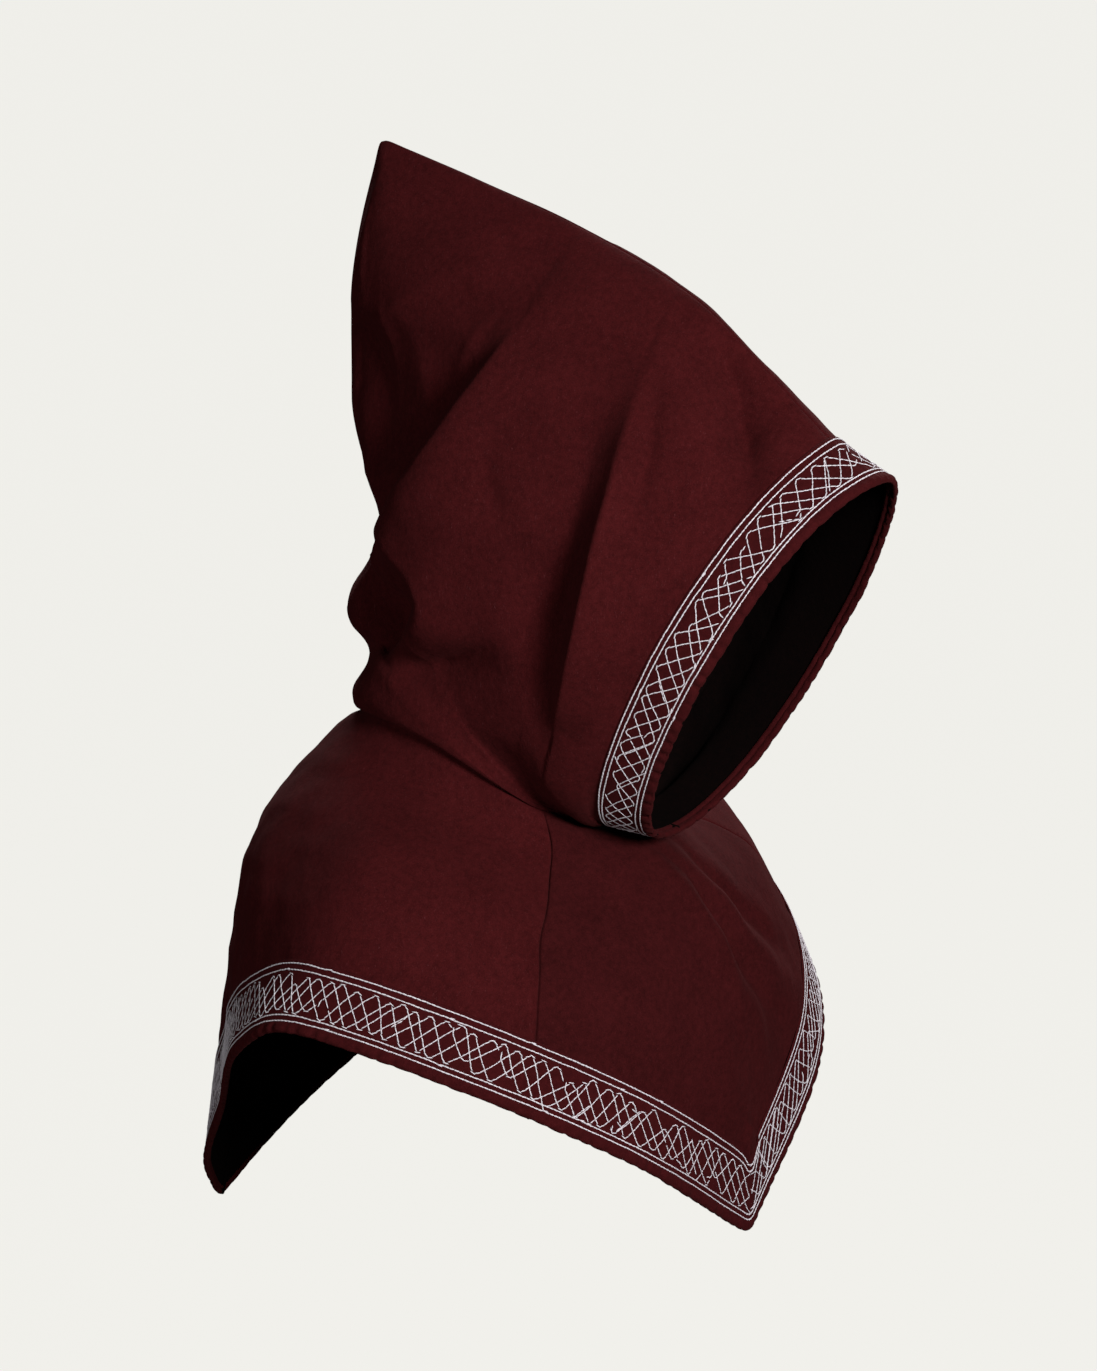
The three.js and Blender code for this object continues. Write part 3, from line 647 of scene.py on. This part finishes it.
def makeHoodHalf(name, side, node):
    v = hoodRows()
    u = side * np.linspace(crown, 1, 481)
    points, shares, longest = evenGrid(hoodSurface(u[None, :], v[:, None]), wallValues["hoodCell"])
    outward = np.array([0, side, 0])
    points = roundedHood(points, v, np.minimum(shares, 1 - shares) * longest)
    points = foldedHood(points, v, side, outward)
    # the rows crowd together at the neck, so the wall follows their general direction there
    normals = gridNormals(points, outward)
    general = gridNormals(blurred(points, wallValues["neckRound"], 0), outward)
    toGeneral = share((v - wallValues["neckFrom"]) / wallValues["neckOver"])
    normals = normals + (general - normals) * toGeneral[:, None, None]
    normals[:, [0, -1], 1] = 0
    normals = unit(normals)
    points = points + normals * seamDip(longest, shares, wallValues)[None, :, None]
    points[:, [0, -1], 1] = 0
    # the inside of the hood gets the near-black wool, painted shade
    piece = clothWall(name, points, normals, (clothWool, insideWoolPaintedShade), wallValues["hoodEdges"], half=side)
    finish(piece, "cloth", node)
    return len(piece.data.polygons)


hoodFaces = 0
for side, word in sides:
    hoodFaces += makeHoodHalf("hood" + word.capitalize(), side, "hood_" + word)
print("hood cloth made", hoodFaces)


def sideSeam(drop):
    return smoothCurve(mantleForm["seamDrop"], mantleForm["seamTurn"], drop)


def makePanel(name, node, side, isFront):
    # the front panel runs from seam to seam, a back panel from a seam to the centre back
    # the rows are a cell apart on the line at 150 degrees
    length = np.linalg.norm(np.diff(mantleSurface(150, np.linspace(0, 1, 200)), axis=0), axis=-1).sum()
    drop = np.linspace(-wallValues["allowance"], 1, round(length / wallValues["mantleCell"]) + 1)
    fine = np.linspace(0, 1, 401)
    seam = sideSeam(share(drop))[:, None]
    if isFront:
        turn = -seam + 2 * seam * fine[None, :]
    else:
        turn = side * (seam + (hemEnds[1] - seam) * fine[None, :])
    points, shares, longest = evenGrid(mantlePoints(turn, drop[:, None]), wallValues["mantleCell"])
    outward = np.array([1, 0, 0.2]) if isFront else np.array([0, side, 0.2])
    calm = share(drop / wallValues["wavesNeck"]) * share((1 - drop) / wallValues["wavesHem"])
    uneven = unevenness(points, wallValues["waves"], 9) * calm[:, None]
    belowNeck = share(drop / wallValues["dipNeck"])
    dip = seamDip(longest, shares, wallValues)[None, :] * belowNeck[:, None]
    points = points + gridNormals(points, outward) * (uneven + dip)[..., None]
    normals = gridNormals(points, outward)
    if not isFront:
        points[:, -1, 1] = 0
        normals[:, -1, 1] = 0
        normals = unit(normals)
    outside = frontWoolPaintedShade if isFront else clothWool    # the front panel's wool is a darker copy, painted shade
    hiddenRows = int(np.sum(drop < -wallValues["hiddenFrom"]))
    # the inside and the hidden rows of the panel get the near-black wool, painted shade
    piece = clothWall(name, points, normals, (outside, insideWoolPaintedShade), wallValues["mantleEdges"], hiddenRows)
    finish(piece, "cloth", node)
    return len(piece.data.polygons)


mantleFaces = makePanel("mantleFront", "mantle_front", 1, True)
for side, word in sides:
    mantleFaces += makePanel("mantle" + word.capitalize(), "mantle_" + word, side, False)
print("mantle cloth made", mantleFaces)

# the stitched bands

bandValues = {
    "cell": 1.6,           # mm
    "across": 24,          # rows of the surface below a band
    "lines": (0.155, 0.235, 0.86, 0.95),    # the four stitched lines, in shares of the width
    "grooves": (1.0, 0.95, 0.85, 0.85),     # the cloth's height at each of them, mm
    "swell": (0.022, 1.22),                 # beside the last two: how far toward the edge, and how high
    # the rest of the section: a share of the width and the height above the cloth, mm
    "rim": ((1.0, 0.10), (0.998, 0.55), (0.99, 0.95), (0.975, 1.15)),
    "face": ((0.75, 1.25), (0.64, 1.25), (0.53, 1.25), (0.42, 1.25), (0.31, 1.25), (0.255, 1.2),
             (0.2, 1.25)),
    # the rolled edge and the turned part inside: mm from the edge, height, and 1 where it sways
    "edge": (
        (5.0, 1.4, 1), (3.6, 1.75, 1), (2.2, 1.85, 1), (1.0, 1.7, 1), (0.1, 1.25, 1), (-0.7, 0.4, 1),
        (-1.2, -0.7, 1), (-1.1, -1.8, 1), (-0.6, -2.6, 1), (0.4, -3.1, 1), (1.5, -3.2, 1),
        (2.4, -2.9, 1), (3.0, -2.45, 1), (3.5, -2.3, 1), (4.0, -2.5, 0), (4.6, -3.1, 1),
        (5.6, -3.4, 1), (6.6, -3.2, 1), (7.2, -2.6, 0), (7.1, -2.05, 1), (4.0, -2.02, 0),
        (0.8, -2.02, 0), (0.12, -1.0, 0), (0.8, 0.03, 0), (12.0, 0.04, 0),
    ),
    "back": (0.7, 0.04),                    # a last point on the underside, as a share and a height
    "firstDent": (3, 9), "dentEvery": (8.0, 15.0), "dentDepth": (0.6, 1.5), "dentWidth": (1.4, 2.8),   # mm
    "sways": ((9.0, 0.25), (26.0, 0.35)),   # wavelength and size, mm
    "endCalm": 12, "edgeReach": 6.0,        # mm from the ends and from the edge
    "drawIn": 0.6, "pressDown": 1.5, "swayLift": 0.3,     # what a dent and a sway do, in shares
}


class BandSurface:
    # the cloth below a band: s runs along the edge in mm, w across it from 0 at the edge to 1

    def __init__(self, pointsAt, alongFine, outward):
        w = np.linspace(0, 1, bandValues["across"] + 1)
        grid = pointsAt(alongFine[None, :], w[:, None])
        edge = lengthsAlong(grid[0])
        self.length = edge[-1]
        self.s = np.linspace(0, self.length, round(self.length / bandValues["cell"]) + 1)
        along = np.interp(self.s, edge, alongFine)
        self.points = pointsAt(along[None, :], w[:, None])
        self.normals = gridNormals(self.points, outward)
        self.normals[:, [0, -1], 1] = 0
        self.normals = unit(self.normals)
        self.width = np.linalg.norm(np.diff(self.points, axis=0), axis=-1).sum(0)

    def at(self, s, w):
        # position, normal and the width of the band there
        col = share(np.asarray(s, float) / self.length) * (len(self.s) - 1)
        row = np.asarray(w, float) * bandValues["across"]
        j = np.clip(col.astype(int), 0, len(self.s) - 2)
        i = np.clip(np.floor(row).astype(int), 0, bandValues["across"] - 1)
        a, b = (row - i)[..., None], (col - j)[..., None]
        mixed = []
        for grid in (self.points, self.normals):
            low = grid[i, j] * (1 - b) + grid[i, j + 1] * b
            high = grid[i + 1, j] * (1 - b) + grid[i + 1, j + 1] * b
            mixed.append(low * (1 - a) + high * a)
        return mixed[0], unit(mixed[1]), np.interp(s, self.s, self.width)


def faceBandPoints(side):
    def pointsAt(u, w):
        return hoodSurface(side * u, w * faceBandEnd)
    return pointsAt


def hemBandPoints(side):
    def pointsAt(turn, w):
        start = bandStart(turn)
        return mantlePoints(side * turn, 1 - (1 - start) * w)
    return pointsAt


def edgeDents(s, seed):
    # the rolled edge is drawn in where each hem stitch holds it
    rng = np.random.default_rng(seed)
    dents, at = np.zeros_like(s), s[0] + rng.uniform(*bandValues["firstDent"])
    while at < s[-1]:
        depth, width = rng.uniform(*bandValues["dentDepth"]), rng.uniform(*bandValues["dentWidth"])
        dents -= depth * np.exp(-((s - at) / width)**2)
        at += rng.uniform(*bandValues["dentEvery"])
    return dents


def faceSection():
    # the outside of the band, from its far side to the edge, with a groove under each sewn line
    toEdge, height = bandValues["swell"]
    section = [*bandValues["rim"], *bandValues["face"], *zip(bandValues["lines"], bandValues["grooves"])]
    section += [(line - toEdge, height) for line in bandValues["lines"][2:]]
    return sorted(section, reverse=True)


def bandRows(band, seed):
    # the closed section of the band, swept along it
    s = band.s
    dents = edgeDents(s, seed)
    sway = sum(wander(s, length, seed + k) * size for k, (length, size) in enumerate(bandValues["sways"], 1))
    calm = share(np.minimum(s, s[-1] - s) / bandValues["endCalm"])
    # out points from the cloth past its edge
    edgePoint, _, _ = band.at(s, np.zeros_like(s))
    nextPoint, _, _ = band.at(s, np.full_like(s, 0.06))
    out = unit(edgePoint - nextPoint)
    out[[0, -1], 1] = 0
    sections = [(np.full_like(s, w), np.full_like(s, h)) for w, h in faceSection()]
    for d, h, sways in bandValues["edge"]:
        near = math.exp(-(d / bandValues["edgeReach"])**2)
        shift = sways * calm * near * (sway - bandValues["drawIn"] * dents)
        lift = np.full_like(s, h)
        if h > 0.5:       # the outside of the roll
            lift += calm * near * (bandValues["pressDown"] * dents + bandValues["swayLift"] * sway)
        if h < -3:        # and its inside
            lift -= calm * (bandValues["drawIn"] * dents * near + bandValues["swayLift"] * sway)
        sections.append(((d + shift) / band.width, lift))
    w, h = bandValues["back"]
    sections.append((np.full_like(s, w), np.full_like(s, h)))
    rows = []
    for w, lift in sections:
        point, normal, _ = band.at(s, np.maximum(w, 0))
        beyond = np.maximum(-w, 0) * band.width
        rows.append(point + out * beyond[:, None] + normal * lift[:, None])
    return np.array(rows)


def makeBand(name, band, node, seed):
    grid = bandRows(band, seed)
    count, cols = grid.shape[:2]
    grid[:, [0, -1], 1] = 0
    index = np.arange(count * cols).reshape(count, cols)
    nextRow = np.roll(index, -1, axis=0)
    quads = np.stack([index[:, :-1], index[:, 1:], nextRow[:, 1:], nextRow[:, :-1]], -1).reshape(-1, 4)
    vertices = toFrame(grid.reshape(-1, 3))
    quads = outwardFaces(vertices, quads)
    flipped = quads[0, 0] != index[0, 0]
    first, last = index[:, 0].tolist(), index[:, -1].tolist()
    ends = [first[::-1], last] if flipped else [first, last[::-1]]
    piece = meshPiece(name, vertices, quads.tolist() + ends, (bandWool,))
    finish(piece, "trim", node)


bands = {}
for side, word in sides:
    along = np.linspace(crown, 1, 801)
    bands["face", side] = BandSurface(faceBandPoints(side), along, np.array([0, side, 0]))
    along = np.linspace(*hemEnds, 1201)
    bands["hem", side] = BandSurface(hemBandPoints(side), along, np.array([0, side, 0.2]))
    makeBand("faceBand" + word.capitalize(), bands["face", side], "face_trim_" + word, 11)
    makeBand("hemBand" + word.capitalize(), bands["hem", side], "hem_trim_" + word, 23)
print("bands made", round(bands["face", 1].length), round(bands["hem", 1].length))

# the stitches

stitchValues = {
    "length": 3.2, "overlap": 1.4,                  # one stitch, mm, and how far it reaches past that
    "lineWidth": 1.0, "latticeWidth": 0.84,         # mm
    "flatness": 0.72,                               # the thread's height over its width
    "thinnest": 0.92, "unevenness": 0.16,           # the least width of a stitch and its spread
    "tilt": (0.1, 0.05, 0.09),                      # the most that a stitch turns, radians
    "lift": 1.25,                                   # the thread's middle above the cloth, mm
    "overLift": 0.32,                               # and how much higher the upper thread lies
}
# each line is sewn in stretches that just overlap, with a knot where one ends
lineValues = {
    "step": 1.5, "endCalm": 20,                     # mm
    "wobble": 0.16, "shortSway": (8, 1.0), "longSway": (40, 1.4),
    "stretch": (90, 220), "leastLeft": 30, "overlap": (-0.5, 2.5),           # mm
    "knot": (0.5, 0.3, 0.1),                        # mm aside
}
# the interlace, in mm along the band and shares across it
latticeValues = {
    "low": 0.275, "high": 0.80, "strands": 4, "step": 1.2, "sway": (8, 0.3), "margin": 1.6,
    # length of one zigzag at places along the band
    "faceWave": ((0, 44), (220, 47), (360, 46), (430, 36), (520, 32)),
    "hemWave": ((0, 50), (90, 46), (200, 43), (330, 39), (420, 35), (620, 37), (900, 40)),
    "phaseSlip": 0.03, "tipSlip": 0.014, "tipLength": (0.5, 5.0),
    # chances and sizes of the needle's slips: short tips, missed and doubled legs, cuts and hooks
    "shortReach": 0.09, "shortBy": (0.05, 0.16), "skipLeg": 0.04, "goOn": 0.5,
    "doubleLeg": 0.08, "doubleLeast": 0.3, "doubleAside": (1.3, 2.4), "doubleStart": 0.4,
    "firstCut": (25, 120), "cutEvery": (60, 190), "cutLength": (1.6, 5.0),
    "hook": 0.6, "hookAside": (1.0, 2.2),
}


def smoothPath(path, rounds):
    # cuts the corners of a path
    path = np.asarray(path, float)
    for _ in range(rounds):
        low = path[:-1] * 0.75 + path[1:] * 0.25
        high = path[:-1] * 0.25 + path[1:] * 0.75
        cut = np.stack([low, high], 1).reshape(-1, path.shape[1])
        path = np.concatenate([path[:1], cut, path[-1:]])
    return path


def finer(path, step, width):
    # more points along a path of (mm along, share across)
    fine = [path[0]]
    for a, b in zip(path[:-1], path[1:]):
        count = max(1, round(np.hypot(b[0] - a[0], (b[1] - a[1]) * width) / step))
        fine += [a + (b - a) * (k + 1) / count for k in range(count)]
    return np.array(fine)


def linePaths(band, seed):
    rng = np.random.default_rng(seed)
    step = lineValues["step"]
    s = np.minimum(np.arange(0, band.length + step, step), band.length)
    width = np.interp(s, band.s, band.width)
    calm = share(np.minimum(s, band.length - s) / lineValues["endCalm"])
    paths = []
    for k, w in enumerate(bandValues["lines"]):
        shortWave, shortSize = lineValues["shortSway"]
        longWave, longSize = lineValues["longSway"]
        sway = shortSize * wander(s, shortWave, seed + k) + longSize * wander(s, longWave, seed + 10 + k)
        line = np.stack([s, w + calm * lineValues["wobble"] * sway / width, np.zeros_like(s)], -1)
        start = 0.0
        while start < band.length:
            stop = start + rng.uniform(*lineValues["stretch"])
            if band.length - stop < lineValues["leastLeft"]:
                stop = band.length + 1
            keep = (s >= start) & (s <= stop)
            piece = line[keep].copy()
            if start > 0 and len(piece) > 4:
                piece[:3, 1] += rng.choice([-1, 1]) * np.array(lineValues["knot"]) / width[keep][0]
            if len(piece) > 2:
                paths.append((piece, stitchValues["lineWidth"]))
            start = stop - rng.uniform(*lineValues["overlap"])
    return paths


def strandLegs(strand, place, turns, rng):
    # one zigzag strand: the two ends of the flat tip of each turn
    offset = strand / latticeValues["strands"]
    legs, up = [], strand % 2 == 0
    for k in range(int(2 * turns[-1])):
        phase = offset + k / 2 + rng.normal(0, latticeValues["phaseSlip"])
        s = float(np.interp(phase, turns, place))
        flat = rng.uniform(*latticeValues["tipLength"])
        w = latticeValues["high" if up else "low"] + rng.normal(0, latticeValues["tipSlip"])
        if rng.uniform() < latticeValues["shortReach"]:
            w += (-1 if up else 1) * rng.uniform(*latticeValues["shortBy"])
        tilt = rng.normal(0, latticeValues["tipSlip"])
        legs.append([(s - flat / 2, w - tilt), (s + flat / 2, w + tilt)])
        up = not up
    return legs


def sewnRuns(legs, rng):
    # the strand in the runs in which it is sewn, with missed and doubled legs
    run, runs = [legs[0][0]], []
    for k, leg in enumerate(legs):
        run += leg
        if rng.uniform() < latticeValues["skipLeg"] or k == len(legs) - 1:
            runs.append(run)
            run = [(leg[1][0] + rng.uniform(-1, 1.5), leg[1][1] + rng.uniform(-0.05, 0.05))]
            if rng.uniform() < latticeValues["goOn"] and k + 1 < len(legs):
                run = [legs[k + 1][0]]
        if k + 1 < len(legs) and rng.uniform() < latticeValues["doubleLeg"]:
            # part of a leg is sewn twice, a little to the side
            a, b = np.array(leg[1]), np.array(legs[k + 1][0])
            first, last = sorted(rng.uniform(0, 1, 2))
            if last - first > latticeValues["doubleLeast"]:
                aside = np.array([rng.choice([-1, 1]) * rng.uniform(*latticeValues["doubleAside"]), 0])
                runs.append([a + (b - a) * first + aside * latticeValues["doubleStart"],
                             a + (b - a) * (first + last) / 2 + aside, a + (b - a) * last + aside])
    return runs


def cutPieces(path, reach, rng):
    # now and then the thread stops, hooks back and starts again
    cuts, at = [], rng.uniform(*latticeValues["firstCut"])
    while at < reach[-1]:
        cuts.append((at, at + rng.uniform(*latticeValues["cutLength"])))
        at += rng.uniform(*latticeValues["cutEvery"])
    pieces, begin = [], 0.0
    for stop, restart in cuts + [(reach[-1] + 1, None)]:
        keep = (reach >= begin) & (reach < stop)
        if keep.sum() > 4:
            piece = path[keep]
            if restart is not None and rng.uniform() < latticeValues["hook"]:
                way = piece[-1] - piece[-3]
                aside = rng.choice([-1, 1]) * rng.uniform(*latticeValues["hookAside"])
                hook = piece[-1] + np.array([way[0] * 0.5 + aside, way[1] * 0.2, 0])
                piece = np.concatenate([piece, [piece[-1] * 0.4 + hook * 0.6], [hook]])
            pieces.append(piece)
        begin = restart
    return pieces


def latticePaths(band, waves, seed):
    rng = np.random.default_rng(seed)
    middle = float(np.median(band.width))
    place = np.linspace(-60, band.length + 60, 400)
    wave = np.interp(place, *np.array(waves, float).T)
    turns = np.concatenate([[0], np.cumsum(np.diff(place) / wave[1:])])
    margin = latticeValues["margin"]
    swayLength, swaySize = latticeValues["sway"]
    paths = []
    for strand in range(latticeValues["strands"]):
        for run in sewnRuns(strandLegs(strand, place, turns, rng), rng):
            if len(run) < 3:
                continue
            path = finer(smoothPath(run, 2), latticeValues["step"], middle)
            path = path[(path[:, 0] > margin) & (path[:, 0] < band.length - margin)]
            if len(path) < 5:
                continue
            reach = lengthsAlong(path * [1, middle])
            sway = wander(reach, swayLength, seed + strand) * swaySize
            rise = np.where(np.gradient(path[:, 1]) > 0, stitchValues["overLift"], 0.0)
            lift = np.convolve(np.pad(rise, 2, mode="edge"), np.ones(5) / 5, mode="valid")
            path = np.stack([path[:, 0] + sway, path[:, 1], lift], -1)
            paths += [(piece, stitchValues["latticeWidth"]) for piece in cutPieces(path, reach, rng)]
    return paths


def stitchTree():
    # a bead for each stitch, laid along the path and flat on the cloth
    tree = bpy.data.node_groups.new("stitchesAlongPaths", "GeometryNodeTree")
    sockets = {}
    for name, kind, value in (
        ("Geometry", "NodeSocketGeometry", None), ("Stitch Length", "NodeSocketFloat", 0.003),
        ("Overlap", "NodeSocketFloat", 1.4), ("Flatness", "NodeSocketFloat", 0.7),
        ("Thinnest", "NodeSocketFloat", 0.92), ("Unevenness", "NodeSocketFloat", 0.16),
        ("Seed", "NodeSocketInt", 1), ("Material", "NodeSocketMaterial", None),
    ):
        socket = tree.interface.new_socket(name=name, in_out="INPUT", socket_type=kind)
        if value is not None:
            socket.default_value = value
        sockets[name] = socket.identifier
    tree.interface.new_socket(name="Geometry", in_out="OUTPUT", socket_type="NodeSocketGeometry")
    given = addNode(tree, "NodeGroupInput").outputs
    curve = addNode(tree, "GeometryNodeMeshToCurve", {0: given["Geometry"]})
    sampled = addNode(tree, "GeometryNodeResampleCurve", {"Curve": curve.outputs[0],
                                                          "Length": given["Stitch Length"]}, mode="LENGTH")
    bead = addNode(tree, "GeometryNodeMeshUVSphere", {"Segments": 6, "Rings": 4, "Radius": 0.5})
    smooth = addNode(tree, "GeometryNodeSetShadeSmooth", {"Geometry": bead.outputs[0]})
    tangent = addNode(tree, "GeometryNodeInputTangent")
    normal = addNode(tree, "GeometryNodeInputNamedAttribute", {"Name": "clothNormal"},
                     data_type="FLOAT_VECTOR")
    along = addNode(tree, "FunctionNodeAlignRotationToVector", {"Vector": tangent.outputs[0]}, axis="X")
    upright = addNode(tree, "FunctionNodeAlignRotationToVector",
                      {"Rotation": along.outputs[0], "Vector": normal.outputs["Attribute"]},
                      axis="Z", pivot_axis="X")
    uneven = addNode(tree, "FunctionNodeRandomValue", {"Seed": given["Seed"]}, data_type="FLOAT")
    spread = mathNode(tree, "MULTIPLY_ADD", uneven.outputs[1], given["Unevenness"], given["Thinnest"])
    longer = mathNode(tree, "MULTIPLY", given["Stitch Length"], given["Overlap"])
    thick = addNode(tree, "GeometryNodeInputNamedAttribute", {"Name": "threadWidth"}, data_type="FLOAT")
    wide = mathNode(tree, "MULTIPLY", thick.outputs["Attribute"], spread)
    high = mathNode(tree, "MULTIPLY", wide, given["Flatness"])
    size = addNode(tree, "ShaderNodeCombineXYZ", {0: longer, 1: wide, 2: high})
    placed = addNode(tree, "GeometryNodeInstanceOnPoints",
                     {"Points": sampled.outputs[0], "Instance": smooth.outputs[0],
                      "Rotation": upright.outputs[0], "Scale": size.outputs[0]})
    most = stitchValues["tilt"]
    least = [-angle for angle in most]
    tipped = addNode(tree, "FunctionNodeRandomValue", {0: least, 1: most, "Seed": given["Seed"]},
                     data_type="FLOAT_VECTOR")
    tilt = addNode(tree, "GeometryNodeRotateInstances", {"Instances": placed.outputs[0],
                                                         "Rotation": tipped.outputs[0]})
    real = addNode(tree, "GeometryNodeRealizeInstances", {0: tilt.outputs[0]})
    dressed = addNode(tree, "GeometryNodeSetMaterial", {"Geometry": real.outputs[0],
                                                        "Material": given["Material"]})
    addNode(tree, "NodeGroupOutput", {0: dressed.outputs[0]})
    return tree, sockets


stitches, stitchSockets = stitchTree()


def makeStitches(name, band, wave, seed):
    vertices, normals, widths, edges = [], [], [], []
    for path, thick in linePaths(band, seed) + latticePaths(band, wave, seed + 50):
        point, normal, _ = band.at(path[:, 0], path[:, 1])
        start = len(vertices)
        lift = stitchValues["lift"] + path[:, 2]
        vertices += toFrame(point + normal * lift[:, None]).tolist()
        turned = np.stack([-normal[:, 1], -normal[:, 0], normal[:, 2]], -1)
        normals += turned.tolist()
        widths += [thick / 1000] * len(turned)
        edges += [(k, k + 1) for k in range(start, len(vertices) - 1)]
    mesh = bpy.data.meshes.new(name)
    mesh.from_pydata(vertices, edges, [])
    mesh.attributes.new("clothNormal", "FLOAT_VECTOR", "POINT")
    mesh.attributes["clothNormal"].data.foreach_set("vector", np.array(normals).ravel())
    mesh.attributes.new("threadWidth", "FLOAT", "POINT")
    mesh.attributes["threadWidth"].data.foreach_set("value", widths)
    guide = newObject(name, mesh)
    nodes = guide.modifiers.new("stitches", "NODES")
    nodes.node_group = stitches
    nodes[stitchSockets["Stitch Length"]] = stitchValues["length"] / 1000
    for key in ("Overlap", "Flatness", "Thinnest", "Unevenness"):
        nodes[stitchSockets[key]] = stitchValues[key.lower()]
    nodes[stitchSockets["Seed"]] = seed
    nodes[stitchSockets["Material"]] = thread
    bpy.context.view_layer.update()
    plain = bpy.data.meshes.new_from_object(guide.evaluated_get(bpy.context.evaluated_depsgraph_get()))
    guide.modifiers.clear()
    guide.data = plain
    plain.name = name
    finish(guide, "trim")
    return len(plain.polygons)


stitchFaces = 0
for side, word in sides:
    for edge, seed in (("face", 100), ("hem", 200)):
        name = edge + "Stitches" + word.capitalize()
        stitchFaces += makeStitches(name, bands[edge, side], latticeValues[edge + "Wave"], seed + side)
print("stitches made", stitchFaces)

# camera, floor and light

studio = {
    "turn": 57.0, "rise": 15.0, "distance": 2.5389,      # the camera's place, degrees and metres
    "lens": 100.0, "sensor": 36,               # mm
    "target": (0.0, 0.092, -0.339),            # the middle of the neck seam
    "targetShift": (-0.003545, -0.022188),     # where it stands in the frame, in focal lengths
    "floorDrop": 1.5, "floorReach": 30,
    "floorColor": (0.02, 0.02, 0.019), "floorGlow": (0.867, 0.859, 0.819),
    "skyColor": (1.0, 0.99, 0.97), "skyStrength": 0.02, "skySeen": (0.87, 0.862, 0.822),
    "lightTarget": (0, 0.1, -0.3),
    "keyPlace": (-1.06, -1.75, 0.55), "keyPower": 51.0, "keySize": 0.6,
    "fillPlace": (-2.17, 0.76, -0.60), "fillPower": 9.0, "fillSize": 0.9,
    "farPlace": (1.9, 1.1, 1.3), "farPower": 55.0, "farSize": 1.6,     # lights the far side only
}


def makeCamera(values):
    turn, rise = math.radians(values["turn"]), math.radians(values["rise"])
    back = Vector((-math.sin(turn) * math.cos(rise), -math.cos(turn) * math.cos(rise), math.sin(rise)))
    right = Vector((math.cos(turn), -math.sin(turn), 0))
    up = back.cross(right)
    shiftX, shiftY = values["targetShift"]
    place = Vector(values["target"]) + values["distance"] * (back - shiftX * right - shiftY * up)
    data = bpy.data.cameras.new("camera")
    data.lens = values["lens"]
    data.sensor_width = values["sensor"]
    camera = newObject("camera", data)
    camera.matrix_world = Matrix.Translation(place) @ Matrix((right, up, back)).transposed().to_4x4()
    bpy.context.scene.camera = camera


def makeFloor(values):
    far, level = values["floorReach"], -values["floorDrop"]
    mesh = bpy.data.meshes.new("floor")
    corners = [(-far, -far, level), (far, -far, level), (far, far, level), (-far, far, level)]
    mesh.from_pydata(corners, [], [(0, 1, 2, 3)])
    material, tree, shader = newMaterial("paleFloor")
    fillSockets(tree, shader, {
        "Base Color": (*values["floorColor"], 1), "Roughness": 1, "Specular IOR Level": 0,
        "Emission Color": (*values["floorGlow"], 1), "Emission Strength": 1,
    })
    mesh.materials.append(material)
    floor = newObject("floor", mesh)
    floor.visible_diffuse = False
    floor.visible_glossy = False


def areaLight(name, values):
    place, target = Vector(values[name + "Place"]), Vector(values["lightTarget"])
    data = bpy.data.lights.new(name, "AREA")
    data.shape = "DISK"
    data.size = values[name + "Size"]
    data.energy = values[name + "Power"]
    light = newObject(name, data)
    light.location = place
    light.visible_camera = False
    light.rotation_euler = (target - place).to_track_quat("-Z", "Y").to_euler()


def makeWorld(values):
    # the sky lights the cloth weakly, and is as pale as the floor where it is seen
    world = bpy.data.worlds.new("studio")
    world.use_nodes = True
    tree = world.node_tree
    sky = tree.nodes["Background"]
    fillSockets(tree, sky, {"Color": (*values["skyColor"], 1), "Strength": values["skyStrength"]})
    seen = addNode(tree, "ShaderNodeBackground", {"Color": (*values["skySeen"], 1)})
    path = addNode(tree, "ShaderNodeLightPath")
    both = addNode(tree, "ShaderNodeMixShader", {0: path.outputs["Is Camera Ray"], 1: sky.outputs[0],
                                                 2: seen.outputs[0]})
    fillSockets(tree, tree.nodes["World Output"], {0: both.outputs[0]})
    bpy.context.scene.world = world


makeCamera(studio)
makeFloor(studio)
for name in ("key", "fill", "far"):
    areaLight(name, studio)
makeWorld(studio)
bpy.context.scene.view_settings.view_transform = "Standard"
print("studio made")
